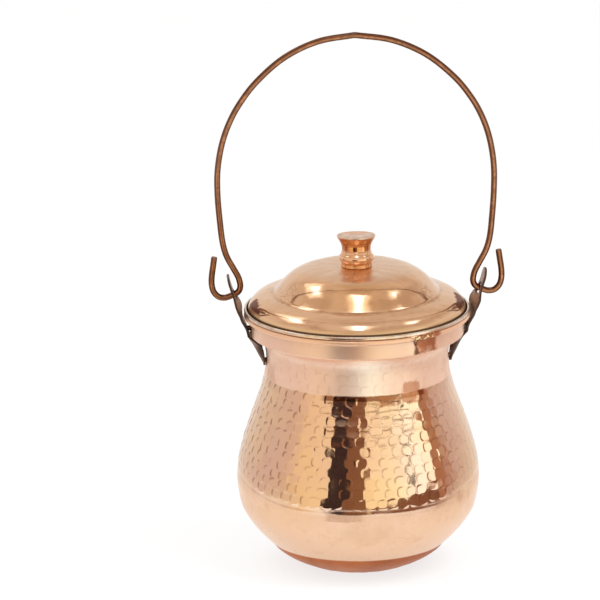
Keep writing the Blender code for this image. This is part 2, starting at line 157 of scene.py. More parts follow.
def stitch(rings, close=False):
    """Vertices and faces of a skin through rings; a ring may have half or twice
    the points of its neighbour, or a single one at a pole."""
    verts, faces, starts = [], [], []
    total = 0
    for ring in rings:
        starts.append((total, len(ring)))
        verts.append(ring)
        total += len(ring)
    pairs = list(zip(starts, starts[1:]))
    if close:
        pairs.append((starts[-1], starts[0]))
    for (a, na), (b, nb) in pairs:
        if na == nb:
            j = np.arange(na)
            k = (j + 1) % na
            faces.extend(np.stack([a + j, b + j, b + k, a + k], axis=1).tolist())
        elif na == 1:
            j = np.arange(nb)
            faces.extend(np.stack([np.full(nb, a), b + j, b + (j + 1) % nb], axis=1).tolist())
        elif nb == 1:
            j = np.arange(na)
            faces.extend(np.stack([a + j, np.full(na, b), a + (j + 1) % na], axis=1).tolist())
        elif nb == 2 * na:
            j = np.arange(na)
            k, f0, f1, f2 = (j + 1) % na, 2 * j, 2 * j + 1, (2 * j + 2) % nb
            faces.extend(np.stack([a + j, b + f0, b + f1], axis=1).tolist())
            faces.extend(np.stack([a + j, b + f1, a + k], axis=1).tolist())
            faces.extend(np.stack([a + k, b + f1, b + f2], axis=1).tolist())
        elif na == 2 * nb:
            j = np.arange(nb)
            k, f0, f1, f2 = (j + 1) % nb, 2 * j, 2 * j + 1, (2 * j + 2) % na
            faces.extend(np.stack([a + f0, b + j, a + f1], axis=1).tolist())
            faces.extend(np.stack([a + f1, b + j, b + k], axis=1).tolist())
            faces.extend(np.stack([a + f1, b + k, a + f2], axis=1).tolist())
        else:
            raise ValueError((na, nb))
    return np.vstack(verts), faces


def piece(name, verts, faces, body, mat, replaces=()):
    mesh = bpy.data.meshes.new(name)
    mesh.from_pydata(np.asarray(verts).tolist(), [], faces)
    mesh.validate()
    mesh.update()
    mesh.shade_smooth()
    ob = bpy.data.objects.new(name, mesh)
    bpy.context.scene.collection.objects.link(ob)
    return dress(ob, body, mat, replaces)


def dress(ob, body, mat, replaces=()):
    mats = mat if isinstance(mat, (list, tuple)) else [mat]
    ob.data.materials.clear()
    for m in mats:
        ob.data.materials.append(m)
    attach(ob, body)
    if replaces:
        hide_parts(*replaces)
    return ob


def turned(name, profile, segs, body, mat, replaces=(), lift=None, poles=(True, True)):
    """A closed solid from a profile that begins and ends on the axis, or a closed ring."""
    pts = ring_points(profile, segs, lift)
    rings = [pts[i] for i in range(len(pts))]
    if poles[0]:
        rings = [np.array([[0, 0, profile[0, 1] * MM]])] + rings
    if poles[1]:
        rings = rings + [np.array([[0, 0, profile[-1, 1] * MM]])]
    verts, faces = stitch(rings, close=not (poles[0] or poles[1]))
    return piece(name, verts, faces, body, mat, replaces)


# --------------------------------------------------------------- hammering
def strike(skin, theta, s, r, at, down, size, depth, curve, tilt, edge, line, shade, open_side, narrow):
    """One blow of the planishing hammer: inside a rounded square the sheet takes the
    shape of the hammer's face, whatever was there before.  skin holds the height, how
    dark the rim of a mark is, and a shade of its own for each mark."""
    height, rim, tone = skin
    i0, i1 = np.searchsorted(s, down - size[1] - 1), np.searchsorted(s, down + size[1] + 1)
    if i1 <= i0:
        return
    segs = len(theta)
    here = float(np.interp(down, s, r))
    reach = int(math.ceil((size[0] + 1) / here / (2 * math.pi) * segs)) + 1
    mid = int(round(at / (2 * math.pi) * segs))
    cols = np.arange(mid - reach, mid + reach + 1) % segs
    rows = np.arange(i0, i1)
    du = (theta[cols] - at + math.pi) % (2 * math.pi) - math.pi
    u = du[None, :] * r[rows][:, None]
    v = (s[rows] - down)[:, None]
    d = (np.abs(u / size[0]) ** 2.7 + np.abs(v / size[1]) ** 2.7) ** (1 / 2.7) * size[1]
    size = size[1]
    w = np.clip((size - d) / edge, 0, 1)
    w = w * w * (3 - 2 * w)
    face = -depth + curve * d ** 2 + tilt[0] * u + tilt[1] * v
    at_ = np.ix_(rows, cols)
    height[at_] = height[at_] * (1 - w) + face * w
    # the step up to the sheet around is steepest on one side, above or to the left; the dark rim, part dirt and part
    # painted shade, is put on that side
    far = np.maximum(np.sqrt(u ** 2 + v ** 2), 0.5)
    side = np.clip((-math.sin(open_side) * v - math.cos(open_side) * u) / far * (1.6 + 2.6 * narrow)
                   - 0.18 - 2.75 * narrow, 0, 1)
    ring = np.exp(-((d - (size - 0.55 * edge)) / 0.50) ** 2) * side * line
    rim[at_] = np.maximum(rim[at_] * (1 - w), ring)
    tone[at_] = tone[at_] * (1 - w) + shade * w


def edge_rise(theta):
    """How much higher than in front the hammered zone ends, in mm."""
    t = np.clip(1 - np.cos(theta - FRONT), 0, 1)
    return SIDE_RISE * t * t * (3 - 2 * t)


def hammered(theta, profile, zones, seed):
    """Height, rim and tone of the hammered skin over the smooth profile.  zones gives
    rows of blows: (first s, last s, depth, curve, lean, edge, size, line)."""
    rng = np.random.RandomState(seed)
    s, r = arc_length(profile), profile[:, 0]
    skin = [np.zeros((len(s), len(theta))) for _ in range(3)]
    # the sheet is drawn down evenly where the marks end
    end = zones[-1][1] - edge_rise(theta)
    skin[0] -= 0.11 * np.exp(-((s[:, None] - end[None, :] - 1.0) / 5.0) ** 2)
    for first, last, depth, curve, lean, edge, size, line in zones:
        rows = int(round((last - first) / ROW_PITCH))
        blows = []
        for k in range(rows):
            centre = first + (k + 0.5) * (last - first) / rows
            around = 2 * math.pi * float(np.interp(centre, s, r))
            n = int(round(around / MARK_PITCH))
            start = rng.uniform(0, 2 * math.pi)
            drift = rng.uniform(0, 6.283)
            for j in range(n):
                at = (start + 2 * math.pi * (j + rng.normal(0, 0.07)) / n) % (2 * math.pi)
                down = centre + rng.normal(0, 0.30) + 0.30 * math.sin(2 * at + drift)
                blows.append((k + rng.uniform(0, 0.9), at, down))
        for order, at, down in sorted(blows):
            # to the right of the front they were planished over once more
            right = (at - SMOOTHER + math.pi) % (2 * math.pi) - math.pi
            soft = math.exp(-(right / 0.42) ** 2)
            wild = math.exp(-((at - WILDER + math.pi) % (2 * math.pi) - math.pi) ** 2 / 0.09)
            turn = math.radians(rng.normal(225, 42))
            slope = lean * abs(rng.normal(1.0, 0.50))
            # rows draw together towards the sides, where the zone is less high
            squeeze = 1 - edge_rise(at) / (last - first) if line > 0.5 else 1.0
            down = first + (down - first) * squeeze
            strength = line * min(1.0, rng.uniform(0.30, 1.05) * (1 - 0.75 * soft) + 0.25 * wild)
            # struck deeper at the middle of the front, with less dirt and painted shade in the rims there
            front_middle = math.exp(-(((at - FRONT + 0.07 + math.pi) % (2 * math.pi) - math.pi) / 0.24) ** 2)
            front_middle *= line > 0.5
            # to the left of it the rims' dirt and painted shade lie in a short arc at the left side
            left = (at - FRONT + math.pi) % (2 * math.pi) - math.pi
            aside = (0.5 - 0.5 * math.tanh((left + 0.45) / 0.20)) * min(1.0, (left + math.pi) / 0.9)
            strength = min(line, strength * (1 + 0.35 * aside))
            strength *= 1 - 0.80 * front_middle
            slope *= 1 + 0.9 * front_middle
            tilt = (-slope * math.cos(turn) + rng.normal(0, 0.026) * wild * (line > 0.5),
                    -slope * math.sin(turn))
            strike(skin, theta, s, r, at, down,
                   (size * rng.uniform(0.90, 1.10), size * rng.uniform(0.83, 0.98) * (0.4 + 0.6 * squeeze)),
                   depth * rng.uniform(0.7, 1.25), curve * rng.uniform(0.75, 1.25),
                   tilt, edge, strength, rng.uniform(0, 1),
                   math.radians(rng.normal(38 - 22 * aside, 24)), aside)
    return skin


# ============================================================== materials
class Tree:
    """Short names for building a node tree."""

    def __init__(self, tree):
        self.tree = tree

    def add(self, kind, **props):
        n = self.tree.nodes.new(kind)
        for k, v in props.items():
            setattr(n, k, v)
        return n

    def put(self, value, socket):
        if isinstance(value, bpy.types.NodeSocket):
            self.tree.links.new(value, socket)
        elif value is not None:
            socket.default_value = value

    def math(self, op, a, b=None, c=None, clamp=False):
        n = self.add("ShaderNodeMath", operation=op, use_clamp=clamp)
        self.put(a, n.inputs[0])
        self.put(b, n.inputs[1])
        self.put(c, n.inputs[2])
        return n.outputs[0]

    def step(self, value, low, high, to_low=0.0, to_high=1.0):
        n = self.add("ShaderNodeMapRange", interpolation_type="SMOOTHSTEP")
        self.put(value, n.inputs["Value"])
        self.put(low, n.inputs["From Min"])
        self.put(high, n.inputs["From Max"])
        self.put(to_low, n.inputs["To Min"])
        self.put(to_high, n.inputs["To Max"])
        return n.outputs["Result"]

    def mix(self, factor, a, b, mode="MIX"):
        n = self.add("ShaderNodeMix", data_type="RGBA", blend_type=mode)
        self.put(factor, n.inputs["Factor"])
        sockets = [x for x in n.inputs if x.type == "RGBA"]
        self.put((*a, 1.0) if isinstance(a, tuple) else a, sockets[0])
        self.put((*b, 1.0) if isinstance(b, tuple) else b, sockets[1])
        return [x for x in n.outputs if x.type == "RGBA"][0]

    def blend(self, factor, a, b):
        n = self.add("ShaderNodeMix", data_type="FLOAT")
        self.put(factor, n.inputs["Factor"])
        sockets = [x for x in n.inputs if x.type == "VALUE" and x.name in "AB"]
        self.put(a, sockets[0])
        self.put(b, sockets[1])
        return n.outputs[0]

    def noise(self, vector, scale, detail=3.0, rough=0.55, distortion=0.0):
        n = self.add("ShaderNodeTexNoise")
        self.put(vector, n.inputs["Vector"])
        self.put(scale, n.inputs["Scale"])
        self.put(detail, n.inputs["Detail"])
        self.put(rough, n.inputs["Roughness"])
        self.put(distortion, n.inputs["Distortion"])
        return n.outputs["Fac"]

    def cells(self, vector, scale, feature="F1", randomness=1.0):
        n = self.add("ShaderNodeTexVoronoi", feature=feature)
        self.put(vector, n.inputs["Vector"])
        self.put(scale, n.inputs["Scale"])
        self.put(randomness, n.inputs["Randomness"])
        return n.outputs["Distance"]

    def ramp(self, factor, stops, interpolation="LINEAR"):
        n = self.add("ShaderNodeValToRGB")
        n.color_ramp.interpolation = interpolation
        while len(n.color_ramp.elements) > 1:
            n.color_ramp.elements.remove(n.color_ramp.elements[-1])
        for k, (at, colour) in enumerate(stops):
            e = n.color_ramp.elements[0] if k == 0 else n.color_ramp.elements.new(at)
            e.position = at
            e.color = (*colour, 1.0)
        self.put(factor, n.inputs["Fac"])
        return n.outputs["Color"]

    def place(self):
        """Object coordinates, and x, y, z, radius and angle in them."""
        at = self.add("ShaderNodeTexCoord").outputs["Object"]
        sep = self.add("ShaderNodeSeparateXYZ")
        self.put(at, sep.inputs[0])
        x, y, z = sep.outputs
        r = self.math("SQRT", self.math("ADD", self.math("MULTIPLY", x, x),
                                        self.math("MULTIPLY", y, y)))
        return at, x, y, z, r

    def join(self, x, y, z):
        n = self.add("ShaderNodeCombineXYZ")
        self.put(x, n.inputs[0])
        self.put(y, n.inputs[1])
        self.put(z, n.inputs[2])
        return n.outputs[0]

    def bump(self, height, strength, distance, before=None):
        n = self.add("ShaderNodeBump")
        self.put(strength, n.inputs["Strength"])
        self.put(distance, n.inputs["Distance"])
        self.put(height, n.inputs["Height"])
        self.put(before, n.inputs["Normal"])
        return n.outputs["Normal"]


def metal(name):
    mat = bpy.data.materials.new(name)
    mat.use_nodes = True
    t = Tree(mat.node_tree)
    shader = mat.node_tree.nodes["Principled BSDF"]
    shader.inputs["Metallic"].default_value = 1.0
    return mat, t, shader


COPPER = (0.900, 0.640, 0.452)
COPPER_PINK = (0.880, 0.610, 0.470)
COPPER_GOLD = (0.905, 0.642, 0.432)
COPPER_BROWN = (0.600, 0.300, 0.170)
TIN = (0.640, 0.600, 0.560)


def wiping(t, at, x, y, z, r, scale=900.0):
    """Fine marks that polishing leaves round the pot."""
    angle = t.math("ARCTAN2", y, x)
    line = t.join(t.math("MULTIPLY", angle, 0.010), t.math("MULTIPLY", r, 1.0), z)
    return t.noise(line, scale, 2.0, 0.6)


def pot_material():
    mat, t, sh = metal("hammered_copper_look")
    at, x, y, z, r = t.place()
    cloud = t.noise(at, 22.0, 4.0, 0.55)
    spots = t.noise(at, 95.0, 5.0, 0.6)
    fine = t.noise(at, 620.0, 3.0, 0.6)
    lines = wiping(t, at, x, y, z, r)
    rim = t.add("ShaderNodeAttribute", attribute_name="rim").outputs["Fac"]
    tone = t.add("ShaderNodeAttribute", attribute_name="tone").outputs["Fac"]
    # copper, pinker and more golden in turn, with faint tarnish
    tint = t.mix(t.step(cloud, 0.36, 0.64), COPPER_PINK, COPPER_GOLD)
    tint = t.mix(t.step(spots, 0.60, 0.78, 0.0, 0.28), tint, COPPER_BROWN)
    tint = t.mix(t.math("MULTIPLY", t.step(tone, 0.55, 1.0), 0.10), tint, COPPER_BROWN)
    # below the hammered zone it is paler and satin
    ahead = t.math("ADD", t.math("MULTIPLY", x, math.cos(FRONT)), t.math("MULTIPLY", y, math.sin(FRONT)))
    rise = t.step(t.math("DIVIDE", ahead, t.math("MAXIMUM", r, 0.001)), 1.0, 0.0, 0.0, SIDE_RISE * MM)
    even = t.math("SUBTRACT", z, rise)
    low = t.step(even, 0.0600, 0.0560)
    pale = t.mix(t.step(cloud, 0.40, 0.62), (0.865, 0.578, 0.405), (0.825, 0.538, 0.345))
    pale = t.mix(t.step(z, 0.054, 0.036), pale, (0.870, 0.580, 0.390))
    pale = t.mix(t.step(spots, 0.52, 0.78, 0.0, 0.45), pale, (0.66, 0.38, 0.22))
    tint = t.mix(low, tint, pale)
    ring = t.math("MULTIPLY", t.step(even, 0.0583, 0.0592), t.step(even, 0.0610, 0.0600))
    tint = t.mix(t.math("MULTIPLY", ring, t.step(spots, 0.35, 0.65, 0.0, 0.50)), tint, (0.62, 0.36, 0.27))
    # satin neck and collar
    neck = t.math("MULTIPLY", t.step(z, 0.1405, 0.1425), t.step(z, 0.1705, 0.1690))
    tint = t.mix(neck, tint, t.mix(t.step(spots, 0.35, 0.7), (0.93, 0.715, 0.575), (0.87, 0.625, 0.475)))
    # on the neck, a painted highlight down the front and painted shade round the rest
    ahead = t.math("DIVIDE", t.math("ADD", t.math("ARCTAN2", y, x), 1.540), 0.20)
    ahead = t.math("EXPONENT", t.math("MULTIPLY", t.math("MULTIPLY", ahead, ahead), -1.0))
    tint = t.mix(neck, tint, t.mix(ahead, t.mix(0.48, tint, (0.78, 0.470, 0.325)), (1.0, 0.86, 0.72)))
    # dirt and painted shade in the rims of the hammer marks
    rim_dirt_and_shade = t.math("MULTIPLY", rim, t.step(spots, 0.32, 0.62, 0.62, 0.92), clamp=True)
    tint = t.mix(rim_dirt_and_shade, tint, t.mix(neck, (0.230, 0.105, 0.058), (0.58, 0.300, 0.210)))
    # brown patches: painted shade in the crease in front, darker patches beside it to the right, painted shadow and
    # reflection of each ear's strap under it on the neck, painted reflection and shade low in front, and a darker patch
    # low on the right
    front = t.math("ARCTAN2", y, x)
    drift_a = t.math("SUBTRACT", t.noise(at, 130.0, 4.0, 0.65), 0.5)
    drift_z = t.math("SUBTRACT", t.noise(at, 110.0, 4.0, 0.65, 0.3), 0.5)

    def brown_patch(a0, a1, z0, z1, soft_a, soft_z, strength, colour, before, ragged=1.0):
        zz = t.math("ADD", z, t.math("MULTIPLY", drift_z, 0.009 * ragged))
        aa = t.math("ADD", front, t.math("MULTIPLY", drift_a, 0.30 * ragged))
        area = t.math("MULTIPLY", t.step(aa, a0 - soft_a, a0 + soft_a), t.step(aa, a1 + soft_a, a1 - soft_a))
        area = t.math("MULTIPLY", area, t.step(zz, z0 - soft_z, z0 + soft_z))
        area = t.math("MULTIPLY", area, t.step(zz, z1 + soft_z, z1 - soft_z))
        return t.mix(t.math("MULTIPLY", area, strength), before, colour)

    blot = t.step(spots, 0.30, 0.46)
    # painted shade in the crease in front
    tint = brown_patch(-2.02, -0.86, 0.1378, 0.1414, 0.04, 0.0005, t.math("MULTIPLY", blot, 0.88), (0.24, 0.085, 0.038), tint, 0.22)
    # darker patches beside it to the right
    tint = brown_patch(-1.145, -0.905, 0.1400, 0.1485, 0.03, 0.0012, t.math("MULTIPLY", blot, 0.75), (0.48, 0.190, 0.090), tint)
    tint = brown_patch(-1.40, -0.90, 0.1335, 0.1400, 0.03, 0.0008, t.math("MULTIPLY", blot, 0.80), (0.40, 0.150, 0.068), tint)
    # painted shadow and reflection of each ear's strap, under it on the neck
    tint = brown_patch(-2.99, -2.72, 0.1380, 0.1530, 0.07, 0.0035, 0.50, (0.56, 0.320, 0.220), tint, 1.5)
    tint = brown_patch(-0.46, -0.31, 0.1400, 0.1560, 0.06, 0.0035, 0.35, (0.56, 0.330, 0.230), tint, 1.5)
    # painted dark reflection just below the hammered zone in front
    tint = brown_patch(-1.930, -1.62, 0.0530, 0.0598, 0.035, 0.0008, t.step(spots, 0.30, 0.60, 0.35, 0.62), (0.50, 0.275, 0.150), tint, 0.35)
    # painted brown shade lower down in front
    tint = brown_patch(-1.86, -1.30, 0.0350, 0.0490, 0.12, 0.0050, t.step(cloud, 0.30, 0.60, 0.20, 0.50), (0.66, 0.410, 0.235), tint, 1.6)
    # a darker patch low on the right
    tint = brown_patch(-0.98, -0.56, 0.0545, 0.0680, 0.08, 0.0040, t.step(spots, 0.35, 0.60, 0.15, 0.55), (0.56, 0.310, 0.190), tint, 1.6)
    # foot: never polished, dull and redder
    edge = t.math("ADD", z, t.math("MULTIPLY", t.math("SUBTRACT", spots, 0.5), 0.0010))
    foot = t.step(edge, 0.0178, 0.0166)
    dull = t.mix(t.step(cloud, 0.35, 0.65), (0.53, 0.178, 0.066), (0.43, 0.132, 0.050))
    dull = t.mix(t.step(spots, 0.55, 0.75, 0.0, 0.5), dull, (0.34, 0.13, 0.07))
    tint = t.mix(foot, tint, dull)
    # the lip is tinned like the inside; the gap beside the lid is painted dark, as shade
    lip = t.math("MULTIPLY", t.step(z, 0.1878, 0.1883), t.step(r, 0.0700, 0.0720))
    tin = t.mix(t.step(spots, 0.38, 0.68), (0.84, 0.76, 0.68), (0.62, 0.54, 0.47))
    worn = t.mix(t.step(t.noise(at, 160.0, 4.0, 0.6), 0.48, 0.64), tin, (0.80, 0.60, 0.46))
    tint = t.mix(lip, tint, worn)
    gap = t.math("MULTIPLY", t.step(z, 0.1845, 0.1850), t.step(r, 0.07985, 0.07955))
    tint = t.mix(t.math("MULTIPLY", gap, 0.92), tint, (0.06, 0.035, 0.022))
    t.put(tint, sh.inputs["Base Color"])
    t.put(t.blend(neck, 1.0, 0.55), sh.inputs["Metallic"])
    # roughness by zone
    rough = t.math("ADD", 0.060, t.math("MULTIPLY", t.step(spots, 0.35, 0.8), 0.07))
    rough = t.math("ADD", rough, t.math("MULTIPLY", rim_dirt_and_shade, 0.20))
    rough = t.blend(low, rough, t.math("ADD", 0.20, t.math("MULTIPLY", cloud, 0.14)))
    rough = t.blend(neck, rough, t.math("ADD", 0.34, t.math("MULTIPLY", spots, 0.14)))
    rough = t.blend(foot, rough, t.math("ADD", 0.40, t.math("MULTIPLY", spots, 0.18)))
    rough = t.blend(lip, rough, t.math("ADD", 0.18, t.math("MULTIPLY", spots, 0.20)))
    rough = t.blend(gap, rough, 0.6)
    t.put(rough, sh.inputs["Roughness"])
    # faint flats on the satin part, struck more lightly
    flats = t.cells(t.join(t.math("MULTIPLY", t.math("ARCTAN2", y, x), 0.062), t.math("MULTIPLY", z, 1.0), 0.0),
                    118.0, "F1", 0.45)
    height = t.math("ADD", t.math("MULTIPLY", lines, 0.5), t.math("MULTIPLY", fine, 0.5))
    gain = t.blend(t.math("MAXIMUM", foot, neck), 0.10, 0.40)
    first = t.bump(height, gain, 0.00012)
    soft = t.math("MULTIPLY", low, t.math("SUBTRACT", 1.0, foot))
    t.put(t.bump(flats, t.math("MULTIPLY", soft, 0.55), 0.00022, first), sh.inputs["Normal"])
    return mat


def tin_material(name="tinned_inside"):
    mat, t, sh = metal(name)
    at, x, y, z, r = t.place()
    cloud = t.noise(at, 30.0, 4.0, 0.6)
    spots = t.noise(at, 140.0, 5.0, 0.65)
    lines = wiping(t, at, x, y, z, r, 700.0)
    tint = t.mix(t.step(cloud, 0.35, 0.65), (0.67, 0.64, 0.60), (0.56, 0.53, 0.50))
    tint = t.mix(t.step(spots, 0.60, 0.80, 0.0, 0.6), tint, (0.62, 0.44, 0.33))
    t.put(tint, sh.inputs["Base Color"])
    t.put(t.math("ADD", 0.22, t.math("MULTIPLY", spots, 0.25)), sh.inputs["Roughness"])
    h = t.math("ADD", t.math("MULTIPLY", lines, 0.6), t.math("MULTIPLY", spots, 0.6))
    t.put(t.bump(h, 0.35, 0.0002), sh.inputs["Normal"])
    return mat


def band_material():
    mat, t, sh = metal("band_copper_look")
    at, x, y, z, r = t.place()
    cloud = t.noise(at, 26.0, 4.0, 0.55)
    spots = t.noise(at, 120.0, 5.0, 0.6)
    lines = wiping(t, at, x, y, z, r, 1100.0)
    tint = t.mix(t.step(cloud, 0.35, 0.65), (0.875, 0.610, 0.460), (0.850, 0.560, 0.400))
    tint = t.mix(t.step(z, 0.1822, 0.1832), tint, (0.885, 0.565, 0.370))
    tint = t.mix(t.step(spots, 0.58, 0.80, 0.0, 0.35), tint, COPPER_BROWN)
    # dark line under the bead and above it
    bead_dark_lines = t.math("MAXIMUM",
                   t.math("MULTIPLY", t.step(z, 0.1819, 0.1826), t.step(z, 0.1836, 0.1830)),
                   t.step(z, 0.1862, 0.1867))
    tint = t.mix(t.math("MULTIPLY", bead_dark_lines, 0.75), tint, (0.30, 0.17, 0.11))
    # brazed seam: a reddish patch beside it that fades away
    angle = t.math("ARCTAN2", y, x)
    past = t.math("SUBTRACT", angle, SEAM_ANGLE)
    patch = t.math("MULTIPLY", t.step(past, -0.004, 0.004),
                   t.step(t.math("ADD", past, t.math("MULTIPLY", t.math("SUBTRACT", spots, 0.5), 0.12)), 0.275, 0.225))
    patch = t.math("MULTIPLY", patch, t.step(t.math("ADD", z, t.math("MULTIPLY", spots, 0.004)), 0.1722, 0.1752))
    near = t.step(t.math("ABSOLUTE", past), 0.030, 0.006)
    tint = t.mix(t.math("MULTIPLY", patch, t.step(spots, 0.34, 0.52, 0.45, 1.0)), tint, (0.42, 0.150, 0.070))
    tint = t.mix(t.math("MULTIPLY", near, t.step(spots, 0.40, 0.56)), tint, (0.14, 0.065, 0.040))
    # the bead is patchy beside the seam, where the braze ran
    run = t.math("MULTIPLY", t.step(past, -0.045, -0.020), t.step(past, 0.20, 0.13))
    run = t.math("MULTIPLY", run, t.step(z, 0.1815, 0.1822))
    fleck = t.noise(at, 420.0, 3.0, 0.6)
    tint = t.mix(t.math("MULTIPLY", run, t.step(fleck, 0.48, 0.56)), tint, (0.30, 0.140, 0.060))
    tint = t.mix(t.math("MULTIPLY", run, t.step(fleck, 0.44, 0.36)), tint, (0.98, 0.76, 0.42))
    t.put(tint, sh.inputs["Base Color"])
    sh.inputs["Metallic"].default_value = 0.72
    rough = t.math("ADD", 0.26, t.math("MULTIPLY", spots, 0.18))
    rough = t.blend(bead_dark_lines, rough, 0.5)
    t.put(rough, sh.inputs["Roughness"])
    h = t.math("ADD", t.math("MULTIPLY", lines, 0.7), t.math("MULTIPLY", t.noise(at, 500.0, 3.0), 0.3))
    t.put(t.bump(h, 0.30, 0.00012), sh.inputs["Normal"])
    return mat


def lid_material():
    mat, t, sh = metal("lid_copper_look")
    at, x, y, z, r = t.place()
    cloud = t.noise(at, 18.0, 4.0, 0.6, 0.4)
    spots = t.noise(at, 110.0, 5.0, 0.6)
    angle = t.math("ARCTAN2", y, x)
    ring = t.noise(t.join(r, 0.0, z), 420.0, 3.0, 0.6)
    tint = t.mix(t.step(cloud, 0.35, 0.66), (0.825, 0.545, 0.375), (0.850, 0.585, 0.400))
    tint = t.mix(t.step(spots, 0.54, 0.80, 0.0, 0.45), tint, (0.56, 0.30, 0.17))
    veil = t.noise(at, 46.0, 6.0, 0.7, 0.8)
    tint = t.mix(t.step(veil, 0.50, 0.70, 0.0, 0.30), tint, (0.62, 0.34, 0.19))
    tint = t.mix(t.step(veil, 0.44, 0.30, 0.0, 0.30), tint, (0.93, 0.74, 0.60))
    # a yellower, browner painted shade low on the front of the dome
    dome_front_shade = t.math("DIVIDE", t.math("ADD", angle, 1.64), 0.62)
    dome_front_shade = t.math("EXPONENT", t.math("MULTIPLY", t.math("MULTIPLY", dome_front_shade, dome_front_shade), -1.0))
    dome_front_shade = t.math("MULTIPLY", dome_front_shade, t.math("MULTIPLY", t.step(r, 0.036, 0.044), t.step(r, 0.061, 0.057)))
    tint = t.mix(t.math("MULTIPLY", dome_front_shade, 0.75), tint, (0.785, 0.475, 0.255))
    # the flat top is duller
    top = t.step(r, 0.0440, 0.0330)
    tint = t.mix(t.math("MULTIPLY", top, 0.5), tint, (0.80, 0.610, 0.480))
    # tarnish left in the crease at the foot of the dome
    crease = t.math("MULTIPLY", t.step(r, 0.0588, 0.0602), t.step(r, 0.0622, 0.0608))
    tint = t.mix(t.math("MULTIPLY", crease, t.step(spots, 0.35, 0.6, 0.20, 0.60)), tint, (0.46, 0.24, 0.13))
    # dark crinkle lines painted as shade in the dome's shoulder, to both sides, where the skylights are mirrored
    curl = t.noise(at, 190.0, 3.0, 0.6, 1.6)
    vein = t.step(t.math("ABSOLUTE", t.math("SUBTRACT", curl, 0.5)), 0.030, 0.008)
    spot = 0.0
    for cx, cy, cz in ((-0.051, -0.022, 0.206), (0.050, -0.026, 0.204)):
        d = t.math("SQRT", t.math("ADD", t.math("ADD",
                   t.math("POWER", t.math("SUBTRACT", x, cx), 2.0),
                   t.math("POWER", t.math("SUBTRACT", y, cy), 2.0)),
                   t.math("POWER", t.math("SUBTRACT", z, cz), 2.0)))
        spot = t.math("MAXIMUM", spot, t.step(d, 0.013, 0.006))
    tint = t.mix(t.math("MULTIPLY", t.math("MULTIPLY", vein, spot), 0.75), tint, (0.40, 0.19, 0.085))
    # dark brown on the rolled ring beside each ear
    jag = t.math("MULTIPLY", t.math("SUBTRACT", t.noise(at, 260.0, 3.0), 0.5), 0.006)
    left = t.math("MULTIPLY", t.step(t.math("ADD", x, jag), -0.0712, -0.0722),
                  t.math("MULTIPLY", t.step(t.math("ADD", y, jag), -0.0335, -0.0315), t.step(y, 0.003, -0.001)))
    right = t.math("MULTIPLY", t.step(t.math("ADD", x, jag), 0.0695, 0.0705),
                   t.math("MULTIPLY", t.step(t.math("ADD", y, jag), -0.0290, -0.0270), t.step(y, 0.004, 0.000)))
    ring_dark_patch = t.math("MULTIPLY", t.math("MAXIMUM", left, right), t.step(spots, 0.25, 0.45, 0.75, 1.0))
    tint = t.mix(t.math("MULTIPLY", ring_dark_patch, 0.95), tint, (0.20, 0.048, 0.020))
    # warmer edge, and painted shade where it dips behind the lip
    rim = t.step(z, 0.1935, 0.1922)
    tint = t.mix(t.math("MULTIPLY", rim, 0.7), tint, (0.86, 0.58, 0.33))
    dark = t.step(z, 0.1909, 0.1902)
    tint = t.mix(t.math("MULTIPLY", dark, 0.86), tint, (0.10, 0.060, 0.035))
    t.put(tint, sh.inputs["Base Color"])
    rough = t.math("ADD", 0.080, t.math("MULTIPLY", t.step(spots, 0.40, 0.85), 0.12))
    rough = t.math("ADD", rough, t.math("MULTIPLY", t.step(cloud, 0.45, 0.7), 0.06))
    rough = t.math("ADD", rough, t.math("MULTIPLY", top, 0.16))
    rough = t.blend(ring_dark_patch, rough, 0.42)
    t.put(t.blend(dark, rough, 0.6), sh.inputs["Roughness"])
    h = t.math("ADD", t.math("MULTIPLY", ring, 0.6), t.math("MULTIPLY", t.noise(at, 260.0, 3.0), 0.4))
    first = t.bump(h, 0.10, 0.00015)
    t.put(t.bump(t.noise(at, 75.0, 2.0, 0.5), 0.22, 0.0005, first), sh.inputs["Normal"])
    return mat


def knob_material():
    mat, t, sh = metal("knob_copper_look")
    at, x, y, z, r = t.place()
    spots = t.noise(at, 210.0, 4.0, 0.6)
    ring = t.noise(t.join(r, 0.0, z), 900.0, 3.0, 0.6)
    tint = t.mix(t.step(spots, 0.35, 0.7), (0.84, 0.420, 0.190), (0.72, 0.300, 0.115))
    tint = t.mix(t.step(ring, 0.50, 0.72, 0.0, 0.50), tint, (0.40, 0.145, 0.050))
    # painted shade in the hollow of the waist, to both sides
    waist_side_shade = t.step(t.math("ABSOLUTE", t.math("DIVIDE", x, t.math("MAXIMUM", r, 0.001))), 0.55, 0.80)
    waist_side_shade = t.math("MULTIPLY", waist_side_shade, t.math("MULTIPLY", t.step(z, 0.2275, 0.2310), t.step(z, 0.2424, 0.2415)))
    tint = t.mix(t.math("MULTIPLY", waist_side_shade, 0.75), tint, (0.50, 0.155, 0.045))
    top = t.math("MULTIPLY", t.step(z, 0.2424, 0.2428), t.step(r, 0.0137, 0.0131))
    dull = t.mix(t.step(spots, 0.40, 0.62), (0.84, 0.68, 0.59), (0.70, 0.52, 0.43))
    tint = t.mix(top, tint, dull)
    # painted reflection: lighter from the waist down over the bulge
    below = t.math("MULTIPLY", t.step(z, 0.2340, 0.2312), t.step(z, 0.2242, 0.2250))
    tint = t.mix(t.math("MULTIPLY", below, 0.70), tint, (0.92, 0.60, 0.40))
    t.put(tint, sh.inputs["Base Color"])
    t.put(t.blend(top, t.math("ADD", 0.045, t.math("MULTIPLY", spots, 0.09)),
                  t.math("ADD", 0.30, t.math("MULTIPLY", spots, 0.20))), sh.inputs["Roughness"])
    t.put(t.bump(ring, 0.18, 0.00015), sh.inputs["Normal"])
    return mat


